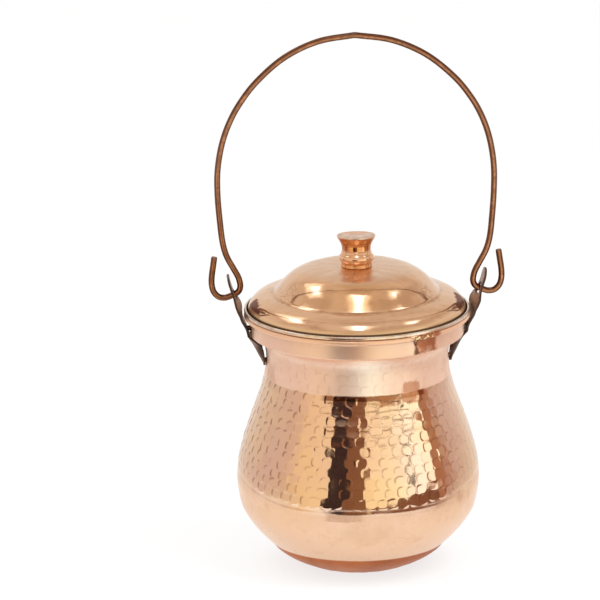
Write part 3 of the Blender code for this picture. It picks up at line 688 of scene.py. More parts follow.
def wire_material():
    mat, t, sh = metal("bail_wire_look")
    at, x, y, z, r = t.place()
    spots = t.noise(at, 230.0, 5.0, 0.65)
    cloud = t.noise(at, 42.0, 4.0, 0.6)
    tint = t.mix(t.step(cloud, 0.35, 0.65), (0.165, 0.056, 0.021), (0.115, 0.039, 0.016))
    tint = t.mix(t.step(spots, 0.54, 0.74, 0.0, 0.65), tint, (0.09, 0.042, 0.026))
    tint = t.mix(t.step(spots, 0.40, 0.30, 0.0, 0.45), tint, (0.42, 0.20, 0.10))
    # painted highlight along its front and back; its other sides keep the dark base colour
    facing = t.add("ShaderNodeSeparateXYZ")
    t.put(t.add("ShaderNodeTexCoord").outputs["Normal"], facing.inputs[0])
    front_back_highlight = t.step(t.math("ADD", t.math("ABSOLUTE", facing.outputs[1]), t.math("MULTIPLY", t.math("SUBTRACT", cloud, 0.5), 0.20)), 0.84, 0.985)
    tint = t.mix(t.math("MULTIPLY", front_back_highlight, t.step(spots, 0.30, 0.60, 1.0, 0.50)), tint, (0.55, 0.245, 0.118))
    t.put(tint, sh.inputs["Base Color"])
    t.put(t.math("ADD", 0.20, t.math("MULTIPLY", t.step(spots, 0.35, 0.75), 0.20)), sh.inputs["Roughness"])
    # wax film that keeps it from tarnishing
    sh.inputs["Coat Weight"].default_value = 0.40
    sh.inputs["Coat Roughness"].default_value = 0.16
    h = t.math("ADD", t.math("MULTIPLY", spots, 0.6), t.math("MULTIPLY", t.noise(at, 900.0, 3.0), 0.4))
    t.put(t.bump(h, 0.20, 0.0002), sh.inputs["Normal"])
    return mat


def iron_material(name="ear_iron_look"):
    mat, t, sh = metal(name)
    at, x, y, z, r = t.place()
    cloud = t.noise(at, 90.0, 5.0, 0.6)
    spots = t.noise(at, 340.0, 5.0, 0.65)
    scratch = t.noise(t.join(t.math("MULTIPLY", x, 0.3), y, t.math("MULTIPLY", z, 0.12)), 1500.0, 2.0)
    tint = t.mix(t.step(cloud, 0.38, 0.60), (0.30, 0.205, 0.165), (0.155, 0.095, 0.070))
    tint = t.mix(t.step(spots, 0.55, 0.72, 0.0, 0.7), tint, (0.085, 0.050, 0.040))
    # rubbed light on the side towards the pot, where lid and bail keep touching it
    facing = t.add("ShaderNodeSeparateXYZ")
    t.put(t.add("ShaderNodeTexCoord").outputs["Normal"], facing.inputs[0])
    inner = t.step(t.math("MULTIPLY", facing.outputs[0], t.math("SIGN", x)), 0.1, -0.5)
    high = t.math("MULTIPLY", t.step(z, 0.176, 0.186), t.step(y, 0.0095, 0.0015, 0.25, 1.0))
    worn = t.math("MULTIPLY", t.math("MULTIPLY", inner, high), t.step(scratch, 0.30, 0.52, 0.45, 1.0))
    tint = t.mix(t.math("MULTIPLY", worn, 0.92), tint, (0.46, 0.335, 0.285))
    # cut edges stay black with scale
    cut = t.step(t.math("ABSOLUTE", facing.outputs[1]), 0.50, 0.80)
    tint = t.mix(t.math("MULTIPLY", cut, 0.80), tint, (0.065, 0.040, 0.030))
    t.put(tint, sh.inputs["Base Color"])
    t.put(t.math("ADD", 0.30, t.math("MULTIPLY", spots, 0.28)), sh.inputs["Roughness"])
    h = t.math("ADD", t.math("MULTIPLY", cloud, 0.7), t.math("MULTIPLY", spots, 0.3))
    t.put(t.bump(h, 0.5, 0.0005), sh.inputs["Normal"])
    return mat


def plain_metal(name, light, dark, rough):
    mat, t, sh = metal(name)
    at, x, y, z, r = t.place()
    spots = t.noise(at, 320.0, 5.0, 0.6)
    t.put(t.mix(t.step(spots, 0.38, 0.66), light, dark), sh.inputs["Base Color"])
    t.put(t.math("ADD", rough, t.math("MULTIPLY", spots, 0.2)), sh.inputs["Roughness"])
    t.put(t.bump(spots, 0.3, 0.0003), sh.inputs["Normal"])
    return mat


# ================================================================ the pot
def pot_outside():
    """Smooth outer lines of the pot: neck, belly and foot, from the top down."""
    neck = smooth([(73.4, 169.4), (70.0, 167.3), (67.2, 163.4), (66.0, 158.5), (65.75, 153.0),
                   (66.15, 147.0), (CREASE_R, CREASE_Z)])
    belly = smooth([(CREASE_R, CREASE_Z), (70.1, 129.6), (73.9, 118.8), (77.8, 108.0),
                    (81.4, 97.2), (84.5, 86.4), (86.7, 75.6), (87.35, 64.8),
                    (86.4, 54.0), (83.9, 43.2), (79.0, 34.6), (72.6, 26.6), (66.6, 20.4),
                    (62.9, 17.1)])
    foot = smooth([(62.2, 16.1), (59.9, 13.3), (55.4, 9.7), (49.4, 6.2), (42.0, 2.7),
                   (37.0, 0.8), (33.0, 0.0)])
    return neck, belly, foot


def make_pot(mats):
    neck, belly, foot = pot_outside()
    half, quarter = FINE // 2, FINE // 4
    # hammered zone, fine; its rows follow the sheet closely
    s_all = arc_length(belly)
    split = int(np.searchsorted(-belly[:, 1], -57.0))
    upper = spaced(np.vstack([neck, belly[1:split]]), 0.70)
    lower = spaced(belly[split - 1:], 1.9)[1:]
    theta = np.arange(FINE) * 2 * math.pi / FINE
    s = arc_length(upper)
    s_crease = float(np.interp(-CREASE_Z, -upper[:, 1], s))
    s_waist = float(np.interp(-165.5, -upper[:, 1], s))
    s_wide = float(np.interp(-62.5, -upper[:, 1], s))
    lift, rim, tone = hammered(theta, upper, [
        (s_waist, s_crease, 0.060, 0.0040, 0.012, 0.8, 4.5, 0.48),
        (s_crease, s_wide, 0.165, 0.0066, 0.024, 0.55, 4.35, 1.0)], SEED)
    s_ring = float(np.interp(-59.8, -upper[:, 1], s))
    lift -= 0.020 * np.exp(-((s[:, None] - s_ring + edge_rise(theta)[None, :]) / 1.0) ** 2)
    lift += waves(theta, s, 30.0, 0.035, SEED + 1)
    fade = np.clip((s - 0.0) / 4.0, 0, 1) * np.clip((s[-1] - s) / 3.0, 0, 1)
    lift *= fade[:, None]
    upper_pts = ring_points(upper, FINE, lift)
    th2 = np.arange(half) * 2 * math.pi / half
    lift2 = waves(th2, arc_length(lower), 24.0, 0.045, SEED + 2)
    lift2 *= np.clip(np.arange(len(lower)) / 3.0, 0, 1)[:, None] * np.clip((len(lower) - 1 - np.arange(len(lower))) / 2.0, 0, 1)[:, None]
    lower_pts = ring_points(lower, half, lift2)
    foot_line = spaced(foot, 1.7)
    lift3 = waves(th2, arc_length(foot_line), 16.0, 0.05, SEED + 3)
    lift3 *= np.clip(np.arange(len(foot_line)) / 2.0, 0, 1)[:, None] * np.clip((len(foot_line) - 1 - np.arange(len(foot_line))) / 3.0, 0, 1)[:, None]
    foot_pts = ring_points(foot_line, half, lift3)

    # lip, seat and collar, down the outside
    t = COLLAR_T
    wall = MOUTH_R + t
    outside_top = rounded([(MOUTH_R, SEAT_Z + 1.2), (MOUTH_R, RIM_Z - 0.9), (MOUTH_R + 0.5, RIM_Z),
                           (LIP_R - 0.5, RIM_Z), (LIP_R, RIM_Z - 0.6), (LIP_R, RIM_Z - 2.2),
                           (wall, RIM_Z - 2.6), (wall, SEAT_Z - t + 0.2), (wall - 1.0, SEAT_Z - t),
                           (COLLAR_R + 0.6, SEAT_Z - t), (COLLAR_R, SEAT_Z - t - 1.4),
                           (COLLAR_R, 171.9), (COLLAR_R - 1.0, 170.3), (73.4, 169.4)], 0.5, 3)
    # inside: floor, wall, neck, collar and seat, upwards
    line = np.vstack([neck, belly[1:], foot])
    inner = line - normals_of(line) * SHEET
    inner = inner[::-1]
    inner = inner[(inner[:, 1] > 3.0) & (inner[:, 1] < 167.0)]
    floor = np.array([(2.0, SHEET), (12.0, SHEET), (24.0, SHEET), (32.0, SHEET + 0.1), (38.0, 2.05)])
    inside = np.vstack([smooth(floor, 4)[:-1], spaced(inner, 3.6)])
    r_in = COLLAR_R - t
    seat = rounded([tuple(inside[-1]), (70.4, 168.6), (r_in - 0.7, 171.2), (r_in, 173.2),
                    (r_in, SEAT_Z - 1.6), (r_in + 0.7, SEAT_Z), (MOUTH_R - 0.6, SEAT_Z),
                    (MOUTH_R, SEAT_Z + 0.6), (MOUTH_R, SEAT_Z + 1.2)], 0.8, 3)[1:]
    thq = np.arange(quarter) * 2 * math.pi / quarter
    in_all = np.vstack([inside, seat[:-1]])
    lift_in = waves(thq, arc_length(in_all), 16.0, 0.05, SEED + 4)
    keep = (in_all[:, 1] < 160) & (in_all[:, 0] > 30)
    lift_in *= keep[:, None]
    inside_pts = ring_points(in_all, quarter, lift_in)
    top_pts = ring_points(outside_top, half)

    rings = [np.array([[0, 0, SHEET * MM]])]
    rings += [inside_pts[i] for i in range(len(inside_pts))]
    n_inside = sum(len(r) for r in rings)
    rings += [top_pts[i] for i in range(len(top_pts) - 1)]
    rings += [upper_pts[i] for i in range(len(upper_pts))]
    rings += [lower_pts[i] for i in range(len(lower_pts))]
    rings += [foot_pts[i] for i in range(len(foot_pts))]
    base = ring_points(np.array([(31.0, 0.0), (20.0, 0.05), (8.0, 0.05)]), quarter)
    rings += [base[0], base[1], base[2], np.array([[0, 0, 0.05 * MM]])]
    # the last ring of the foot has twice the points of the base's first
    verts, faces = stitch(rings)
    ob = piece("pot_body_copper", verts, faces, "pot", mats, ["pot_body"])
    mesh = ob.data
    before = n_inside + sum(len(top_pts[i]) for i in range(len(top_pts) - 1))
    for label, field in (("rim", rim), ("tone", tone)):
        values = np.zeros(len(mesh.vertices), dtype=np.float32)
        values[before:before + field.size] = field.ravel()
        mesh.attributes.new(label, 'FLOAT', 'POINT').data.foreach_set("value", values)
    index = np.array([min(p.vertices) for p in mesh.polygons]) < n_inside
    mesh.polygons.foreach_set("material_index", index.astype(np.int32))
    mesh.update()
    return ob


def make_band(mat):
    """Band with a bead, bent round the collar and brazed where its ends meet."""
    inner = BAND_R - 1.0
    wall_in = MOUTH_R + COLLAR_T + 0.3
    under = SEAT_Z - COLLAR_T - 0.3
    mid, high = (BEAD_R + wall_in + 0.4) / 2, (BEAD_LOW + BEAD_TOP) / 2
    bead = [(BEAD_R - 1.95 + 1.95 * math.cos(a), high + 1.95 * math.sin(a))
            for a in np.radians(np.linspace(80, -118, 15))]
    outer = [(wall_in + 0.05, BEAD_TOP - 0.5), (wall_in + 0.3, BEAD_TOP - 0.1)] + bead
    outer += [(BAND_R + 0.75, BEAD_LOW - 0.1), (BAND_R + 0.15, BEAD_LOW - 0.7),
              (BAND_R, BEAD_LOW - 1.6), (BAND_R + 0.02, 178.5), (BAND_R, 175.0),
              (BAND_R, BAND_FOOT + 0.9), (BAND_R - 0.15, BAND_FOOT + 0.3),
              (BAND_R - 0.6, BAND_FOOT)]
    back = [(inner, BAND_FOOT + 0.1), (inner, 178.0), (inner, under - 1.2), (inner + 0.4, under - 0.3),
            (inner + 1.2, under), (wall_in - 0.8, under), (wall_in - 0.1, under + 0.4),
            (wall_in, under + 1.1)]
    section = np.array(outer + back)
    outward = len(outer)
    steps = 360
    gap = 0.25 / BAND_R
    angles = SEAM_ANGLE + gap + np.linspace(0, 2 * math.pi - 2 * gap, steps)
    # closer steps beside the seam
    ease = np.linspace(-1, 1, steps)
    ease = ease * (1 - 0.12 * (1 - ease ** 2))
    ease = np.sign(ease) * np.abs(ease) ** 0.93
    angles = SEAM_ANGLE + math.pi + ease * (math.pi - gap)
    rng = np.random.RandomState(SEED + 6)
    wob = waves(np.array(angles), np.zeros(1), 26.0, 0.05, SEED + 7)[0]
    rows = []
    for k, a in enumerate(angles):
        from_start = (a - SEAM_ANGLE) * BAND_R
        to_end = (SEAM_ANGLE + 2 * math.pi - a) * BAND_R
        # the bead is pinched and dressed down where its ends meet
        pinch = 0.55 * math.exp(-(from_start / 4.5) ** 2) + 0.75 * math.exp(-(to_end / 3.0) ** 2)
        dent = 0.35 * math.exp(-((from_start - 7.5) / 1.6) ** 2) + 0.25 * math.exp(-((from_start - 12.5) / 1.2) ** 2)
        pts = section.copy()
        bulge = np.clip((pts[:, 0] - (BAND_R + 0.4)) / 3.0, 0, 1)
        pts[:outward, 0] -= (bulge * (pinch + dent) * 1.6)[:outward]
        pts[:outward, 0] += wob[k] * 0.6
        # raised tongue just past the seam: the lapped end of the sheet
        lap = 0.22 * math.exp(-(from_start / 9.0) ** 4)
        flat = (pts[:, 1] < BEAD_LOW - 0.6) & (np.arange(len(pts)) < outward)
        pts[:, 0] += lap * flat
        lean = (pts[:, 1] - 179.0) * -0.42 / BAND_R      # the seam runs aslant
        aa = a + lean * (math.exp(-(from_start / 10) ** 2) + math.exp(-(to_end / 10) ** 2))
        rows.append(np.stack([pts[:, 0] * np.cos(aa), pts[:, 0] * np.sin(aa), pts[:, 1]], axis=1) * MM)
    n = len(section)
    verts = np.vstack(rows)
    faces = []
    for k in range(steps - 1):
        a, b = k * n, (k + 1) * n
        for i in range(n):
            j = (i + 1) % n
            faces.append((a + i, a + j, b + j, b + i))
    faces.append(tuple(range(n))[::-1])
    faces.append(tuple((steps - 1) * n + i for i in range(n)))
    return piece("rim_band_beaded", verts, faces, "pot", mat, ["rim_band"])


# =============================================================== the ears
EAR_LINE = smooth([(66.1, 147.0), (66.5, 150.5), (68.2, 154.0), (69.8, 157.0), (72.1, 161.5),
                   (74.6, 166.0), (77.5, 170.8), (78.8, 176.0), (80.4, 180.0), (82.1, 183.5),
                   (82.9, 187.0), (83.8, 190.8), (85.9, 197.0), (87.9, 201.7), (89.6, 206.0),
                   (91.1, 211.0), (92.2, 216.8)], 6)


def ear_width(z):
    zs = [EAR_FOOT_Z, 152, 165, 178, 188, 194, 198, 202, EAR_TOP_Z]
    ws = [6.5, 6.5, 8.5, 9.6, 9.6, 8.9, 7.3, 6.3, 6.2]
    w = float(np.interp(z, zs, ws))
    for end in (z - EAR_FOOT_Z, EAR_TOP_Z - z):
        if end < w:
            w = math.sqrt(max(w * w - (w - end) ** 2, 0.04))
    return w


def ear_twist(z, side):
    return EAR_TWIST[side] * float(np.interp(z, [178, 183, 187, 190, 194, 198, 202],
                                             [0.0, 0.2, 0.4, 0.8, 1.0, 0.75, 0.25]))


def ear_curl(z):
    """How far the edges of the lower leg are dished in towards the neck."""
    return float(np.interp(z, [150.0, 154.0, 157.5, 161.0, 164.6, 168.1, 171.6],
                           [0.0, 1.8, 3.4, 4.6, 5.0, 3.0, 0.0]))


def make_ear(name, side, mat, node):
    """Strap forged to the pot's outline, with eased edges and a punched hole."""
    rng = np.random.RandomState(SEED + 20 + side)
    ends = [0.02, 0.12, 0.35, 0.7, 1.2, 1.9, 2.8, 4.0, 5.4]
    zs = [EAR_FOOT_Z + e for e in ends] + list(np.arange(EAR_FOOT_Z + 6.5, EAR_TOP_Z - 6.4, 1.0))
    zs += [EAR_TOP_Z - e for e in ends[::-1]]
    order = np.argsort(EAR_LINE[:, 1])
    rows = []
    soft = 0.62
    dents = [(rng.uniform(0, 6.28), rng.uniform(0.25, 0.9), rng.uniform(-0.5, 0.5)) for _ in range(9)]
    for z in zs:
        r = float(np.interp(z, EAR_LINE[order, 1], EAR_LINE[order, 0]))
        slope = (float(np.interp(z + 1, EAR_LINE[order, 1], EAR_LINE[order, 0]))
                 - float(np.interp(z - 1, EAR_LINE[order, 1], EAR_LINE[order, 0]))) / 2
        w = ear_width(z)
        end = min(z - EAR_FOOT_Z, EAR_TOP_Z - z)
        t = EAR_T - 0.1
        if end < soft:
            t *= 0.45 + 0.55 * math.sqrt(max(0.0, 1 - (1 - end / soft) ** 2))
        turn = ear_twist(z, side)
        out = np.array([1.0, -slope]) / math.hypot(1, slope)
        mid = r + EAR_T / 2 / math.cos(math.atan(slope))
        ring = []
        c = min(soft, w * 0.9, t / 2)
        corner = [(sx, sy) for sx, sy in ((1, 1), (-1, 1), (-1, -1), (1, -1))]
        for sx, sy in corner:
            start = {(1, 1): 0, (-1, 1): 90, (-1, -1): 180, (1, -1): 270}[(sx, sy)]
            for a in np.radians(np.linspace(start, start + 90, 5)):
                ring.append((sx * (w - c) + c * math.cos(a), sy * (t / 2 - c) + c * math.sin(a)))
            # points along the flats keep the strap's faces lively
            if sy == 1 and sx == 1:
                ring += [((w - c) * q, t / 2) for q in (0.84, 0.66, 0.33, 0.0, -0.33, -0.66, -0.84)]
            if sy == -1 and sx == -1:
                ring += [((w - c) * q, -t / 2) for q in (-0.84, -0.66, -0.33, 0.0, 0.33, 0.66, 0.84)]
        pts = []
        for v, n in ring:
            bump = sum(a * math.cos(p + z * f + v * g * 2) for p, f, g in dents for a in (0.022,)) / 1.5
            n2 = n + bump * (1 if n > 0 else -1) * (abs(n) > t / 2 - 0.05)
            dish = ear_curl(z) * abs(v / w) ** 3
            lean = math.atan(3 * ear_curl(z) / w * (v / w) ** 2)
            x = mid + n2 * out[0] * math.cos(lean) - v * math.sin(turn) - dish
            y = v * math.cos(turn) + n2 * math.sin(lean) * (1 if v > 0 else -1)
            pts.append((x, y, z + n2 * out[1]))
        pts = np.array(pts)
        pts[:, 0] *= side
        rows.append(pts * MM)
    n = len(rows[0])
    verts = np.vstack(rows)
    faces = []
    for k in range(len(rows) - 1):
        a, b = k * n, (k + 1) * n
        for i in range(n):
            j = (i + 1) % n
            faces.append((a + i, a + j, b + j, b + i))
    faces.append(tuple(range(n))[::-1])
    faces.append(tuple((len(rows) - 1) * n + i for i in range(n)))
    mesh = bpy.data.meshes.new(name)
    mesh.from_pydata(verts.tolist(), [], faces)
    mesh.validate()
    bm = bmesh.new()
    bm.from_mesh(mesh)
    bmesh.ops.recalc_face_normals(bm, faces=bm.faces)
    bm.to_mesh(mesh)
    bm.free()
    ear = bpy.data.objects.new(name, mesh)
    bpy.context.scene.collection.objects.link(ear)
    # punched hole with eased edges
    hole = [(0.0, -7.0), (5.6, -7.0), (4.75, -1.15), (4.32, -0.7), (EAR_HOLE_R, -0.3),
            (EAR_HOLE_R, 0.3), (4.32, 0.7), (4.75, 1.15), (5.6, 7.0), (0.0, 7.0)]
    centre = HINGE_X
    drill(ear, hole, Vector((side * centre * MM, 0, HINGE_Z * MM)), side, 40)
    for zr in (RIVET_LOW_Z, RIVET_HIGH_Z):
        face = float(np.interp(zr, EAR_LINE[order, 1], EAR_LINE[order, 0])) + EAR_T
        sink = [(0.0, face - 6.0), (2.3, face - 6.0), (2.3, face - 1.2), (2.3 + 0.6 * 4.2, face + 3.0), (0.0, face + 3.0)]
        drill(ear, sink, Vector((0, 0, zr * MM)), side, 36)
    ear.data.shade_smooth()
    ear.data.set_sharp_from_angle(angle=math.radians(40))
    return dress(ear, "pot", mat, [node])


def drill(ob, profile, at, side, segs):
    """Cuts a turned shape, whose axis runs out along X, from ob."""
    pts = np.array(profile, float)
    rings = []
    for r, h in pts:
        if r == 0:
            rings.append(np.array([[0, 0, h * MM]]))
        else:
            th = np.arange(segs) * 2 * math.pi / segs
            rings.append(np.stack([r * np.cos(th), r * np.sin(th), np.full(segs, h)], axis=1) * MM)
    verts, faces = stitch(rings)
    mesh = bpy.data.meshes.new("cutter")
    mesh.from_pydata(verts.tolist(), [], faces)
    bm = bmesh.new()
    bm.from_mesh(mesh)
    bmesh.ops.recalc_face_normals(bm, faces=bm.faces)
    bm.to_mesh(mesh)
    bm.free()
    cutter = bpy.data.objects.new("cutter", mesh)
    bpy.context.scene.collection.objects.link(cutter)
    cutter.matrix_world = Matrix.Translation(at) @ Matrix.Rotation(side * math.pi / 2, 4, 'Y')
    mod = ob.modifiers.new("cut", 'BOOLEAN')
    mod.operation = 'DIFFERENCE'
    mod.solver = 'EXACT'
    mod.object = cutter
    bpy.context.view_layer.update()
    dg = bpy.context.evaluated_depsgraph_get()
    made = bpy.data.meshes.new_from_object(ob.evaluated_get(dg))
    ob.modifiers.clear()
    old = ob.data
    ob.data = made
    bpy.data.meshes.remove(old)
    bpy.data.objects.remove(cutter, do_unlink=True)


def make_rivet(name, side, z, wall, mat, node):
    """Domed head inside, shank, and an end dressed flush with the sloping strap."""
    order = np.argsort(EAR_LINE[:, 1])
    inner = float(np.interp(z, EAR_LINE[order, 1], EAR_LINE[order, 0]))
    slope = (float(np.interp(z + 1.5, EAR_LINE[order, 1], EAR_LINE[order, 0]))
             - float(np.interp(z - 1.5, EAR_LINE[order, 1], EAR_LINE[order, 0]))) / 3
    face = inner + EAR_T / math.cos(math.atan(slope)) * 0.985
    head = wall - 1.6
    hr, h, sr = 3.4, 1.3, 1.9
    dome = [(hr * math.sin(a), head + h - h * math.cos(a)) for a in np.radians(np.linspace(8, 88, 9))]
    shank = [(hr, head + h), (sr, head + h), (sr, face - 1.2), (sr + 0.50, face - 0.5),
             (sr + 0.78, face - 0.12), (sr + 0.70, face + 0.02), (sr * 0.6, face + 0.10), (0.4, face + 0.12)]
    profile = np.array(dome + shank)
    pts = ring_points(profile, 32)
    # the far end leans with the strap
    local = pts.copy()
    x = local[:, :, 2]
    up = -local[:, :, 0] if side > 0 else local[:, :, 0]
    # after the turn about Y, local x points down (side +) or up (side -)
    weight = np.clip((x / MM - (face - 1.5)) / 1.3, 0, 1)
    local[:, :, 2] = x + weight * slope * up
    rings = [np.array([[0, 0, head * MM]])] + [local[i] for i in range(len(local))]
    rings += [np.array([[0, 0, (face + 0.12) * MM]])]
    verts, faces = stitch(rings)
    turn = Matrix.Translation((0, 0, z * MM)) @ Matrix.Rotation(side * math.pi / 2, 4, 'Y')
    verts = np.array([turn @ Vector(v) for v in verts])
    mesh = bpy.data.meshes.new(name)
    mesh.from_pydata(verts.tolist(), [], faces)
    bm = bmesh.new()
    bm.from_mesh(mesh)
    bmesh.ops.recalc_face_normals(bm, faces=bm.faces)
    bm.to_mesh(mesh)
    bm.free()
    mesh.shade_smooth()
    mesh.set_sharp_from_angle(angle=math.radians(50))
    ob = bpy.data.objects.new(name, mesh)
    bpy.context.scene.collection.objects.link(ob)
    return dress(ob, "pot", mat, [node])


# =============================================================== the bail
def make_bail(mat):
    half = [(0.0, 391.9), (26.8, 387.7), (50.8, 376.8), (70.6, 360.0), (83.3, 343.5),
            (91.4, 327.9), (96.6, 311.5), (99.4, 293.0), (99.5, 274.5), (98.2, 256.0),
            (96.4, 240.2), (93.6, 230.0), (89.2, 221.5), (85.7, 215.0), (84.2, 210.0),
            (84.1, 206.2), (85.6, 203.2), (HINGE_X, HINGE_Z - 0.3), (91.9, 200.0),
            (95.2, 199.1), (99.6, 199.9), (103.2, 203.8), (104.6, 209.6), (104.4, 216.0),
            (103.4, 223.0), (102.5, 229.7)]
    right = smooth(half, 6)
    whole = np.vstack([(right * [-1, 1])[::-1], right[1:]])
    line = spaced(whole, 1.6)
    s = arc_length(line)
    n = len(line)
    # hand-bent: the wire wanders a little over the arch
    arch = np.clip((line[:, 1] - 240) / 40, 0, 1)
    y = 0.35 * arch * np.sin(s / 41.0 + 0.6) * np.sin(s / 97.0)
    line3 = np.stack([line[:, 0] + 0.22 * arch * np.sin(s / 29.0), y, line[:, 1] + 0.18 * arch * np.sin(s / 23.0 + 2)], axis=1)
    tangent = np.gradient(line3, axis=0)
    tangent /= np.linalg.norm(tangent, axis=1)[:, None]
    side = np.cross(tangent, np.tile([0, 1, 0], (n, 1)))
    side /= np.linalg.norm(side, axis=1)[:, None]
    up = np.cross(side, tangent)
    ring = 20
    rings = []
    for k in range(n):
        end = min(s[k], s[-1] - s[k])
        w = WIRE_R * (1.0 if end > 0.5 else 0.86 + 0.14 * math.sqrt(max(0, 1 - (1 - end / 0.5) ** 2)))
        # cropped ends are a little spread by the cutter
        flare = 0.10 * math.exp(-(end / 1.6) ** 2)
        a = np.arange(ring) * 2 * math.pi / ring
        rings.append((line3[k] + side[k] * ((w + flare) * np.cos(a))[:, None]
                      + up[k] * ((w - flare) * np.sin(a))[:, None]) * MM)
    first = line3[0] - tangent[0] * 0.12
    last = line3[-1] + tangent[-1] * 0.12
    rings = [first[None, :] * MM] + rings + [last[None, :] * MM]
    verts, faces = stitch(rings)
    mesh = bpy.data.meshes.new("bail_bent_wire")
    mesh.from_pydata(verts.tolist(), [], faces)
    bm = bmesh.new()
    bm.from_mesh(mesh)
    bmesh.ops.recalc_face_normals(bm, faces=bm.faces)
    bm.to_mesh(mesh)
    bm.free()
    mesh.shade_smooth()
    mesh.set_sharp_from_angle(angle=math.radians(50))
    ob = bpy.data.objects.new("bail_bent_wire", mesh)
    bpy.context.scene.collection.objects.link(ob)
    return dress(ob, "bail", mat, ["bail_wire"])


# ================================================================ the lid
def lid_line():
    dome = smooth([(2.3, 220.3), (12.0, 220.25), (24.5, 219.85), (34.0, 218.85), (41.8, 216.8),
                   (47.6, 213.8), (52.6, 209.6), (56.8, 204.8), (59.3, 202.0)], 8)
    ring = smooth([(60.9, 200.95), (63.6, 200.35), (67.2, 199.5), (70.2, 198.5), (73.0, 197.1),
                   (75.4, 195.2), (77.2, 192.9), (78.3, 190.4)], 6)
    edge = np.array([(78.55, 189.0), (78.6, 187.6), (78.6, 186.2), (78.35, 185.7), (78.0, LID_FOOT_Z)])
    return dome, ring, edge


def make_lid(mats):
    dome, ring, edge = lid_line()
    outer = np.vstack([spaced(dome, 1.3), spaced(ring, 1.0), edge])
    segs = 320
    theta = np.arange(segs) * 2 * math.pi / segs
    s = arc_length(outer)
    lift = waves(theta, s, 26.0, 0.040, SEED + 9) + waves(theta, s, 11.0, 0.010, SEED + 10)
    near_edge = np.clip((len(outer) - 1 - np.arange(len(outer))) / 6.0, 0, 1)
    near_hole = np.clip((outer[:, 0] - 12) / 6.0, 0, 1)
    lift *= (near_edge * near_hole)[:, None]
    out_pts = ring_points(outer, segs, lift)
    body = np.vstack([dome, ring])
    under = body - normals_of(body) * LID_T
    under = np.vstack([[(2.3, LID_TOP_Z - LID_T)], under[6:-2], [(77.5, 190.2), (77.6, 188.0), (77.6, 186.2), (77.75, LID_FOOT_Z)]])
    # coarser below: half the points round
    back = spaced(under[::-1], 2.2)
    under_pts = ring_points(back, segs // 2)
    rings = [out_pts[i] for i in range(len(out_pts))] + [under_pts[i] for i in range(len(under_pts))]
    verts, faces = stitch(rings, close=True)
    ob = piece("lid_domed_copper", verts, faces, "lid", mats, ["lid_shell"])
    n_out = len(out_pts) * segs
    index = np.array([max(p.vertices) >= n_out and min(p.vertices) >= n_out for p in ob.data.polygons])
    ob.data.polygons.foreach_set("material_index", index.astype(np.int32))
    ob.data.update()
    return ob


def make_knob(mat):
    z = KNOB_TOP_Z
    side = smooth([(13.95, z - 0.8), (13.8, z - 1.7), (12.9, z - 3.4), (11.4, z - 5.9), (10.6, z - 8.4),
                   (10.45, z - 10.2), (10.4, z - 11.0), (10.15, z - 11.4), (10.75, z - 11.9), (11.05, z - 13.2),
                   (11.6, z - 14.2), (12.45, z - 15.1), (12.7, z - 16.4), (12.35, z - 18.0),
                   (11.4, z - 19.2)], 5)
    foot = smooth([(11.15, z - 19.6), (10.95, z - 20.6), (11.1, z - 21.6), (11.3, 220.65)], 4)
    top = [(1.5, z - 0.42), (5.0, z - 0.34), (9.0, z - 0.18), (11.6, z - 0.04), (12.6, z), (13.3, z - 0.05), (13.75, z - 0.35)]
    bore = [(2.6, 220.62), (2.3, 221.0), (2.3, 233.4), (0.6, 234.3)]
    outer = np.vstack([top, spaced(side, 0.55), foot])
    profile = np.vstack([outer, bore])
    ob = turned("lid_knob_turned", profile, 112, "lid", mat, ["lid_knob"])
    # set a little askew: the knob leans to the back above its foot
    co = np.zeros(len(ob.data.vertices) * 3)
    ob.data.vertices.foreach_get("co", co)
    co = co.reshape(-1, 3)
    n = 1 + len(outer) * 112
    base = 220.65 * MM
    up = co[:n, 2] - base
    angle = KNOB_LEAN * np.clip(up / (7.0 * MM), 0, 1) ** 1.2
    y = co[:n, 1] * np.cos(angle) + up * np.sin(angle)
    co[:n, 2] = base + up * np.cos(angle) - co[:n, 1] * np.sin(angle)
    co[:n, 1] = y
    ob.data.vertices.foreach_set("co", co.ravel())
    ob.data.update()
    return ob


def make_stud(mat):
    seat = LID_TOP_Z - LID_T - 0.3 - 1.0 - 0.3
    dome = [(4.2 * math.sin(a), seat - 0.5 - 1.8 * math.cos(a)) for a in np.radians(np.linspace(88, 6, 9))]
    profile = np.array([(0.5, 233.3), (1.5, 233.3), (1.95, 232.8), (1.95, seat + 0.02), (2.4, seat),
                        (4.1, seat - 0.05), (4.2, seat - 0.3)] + dome)
    return turned("knob_stud_peened", profile, 40, "lid", mat, ["knob_stud"])


def make_washer(mat):
    top = LID_TOP_Z - LID_T - 0.3
    profile = rounded([(2.35, top - 0.5), (2.35, top), (7.5, top), (7.5, top - 1.0), (2.35, top - 1.0), (2.35, top - 0.55)], 0.25, 3)
    return turned("knob_washer_round", profile, 64, "lid", mat, ["knob_washer"], poles=(False, False))


# ============================================================== the studio
def flat_material(name, colour, glow):
    mat = bpy.data.materials.new(name)
    mat.use_nodes = True
    sh = mat.node_tree.nodes["Principled BSDF"]
    sh.inputs["Base Color"].default_value = (*colour, 1.0)
    sh.inputs["Emission Color"].default_value = (1.0, 1.0, 1.0, 1.0)
    sh.inputs["Emission Strength"].default_value = glow
    sh.inputs["Roughness"].default_value = 0.9
    sh.inputs["Specular IOR Level"].default_value = 0.1
    return mat


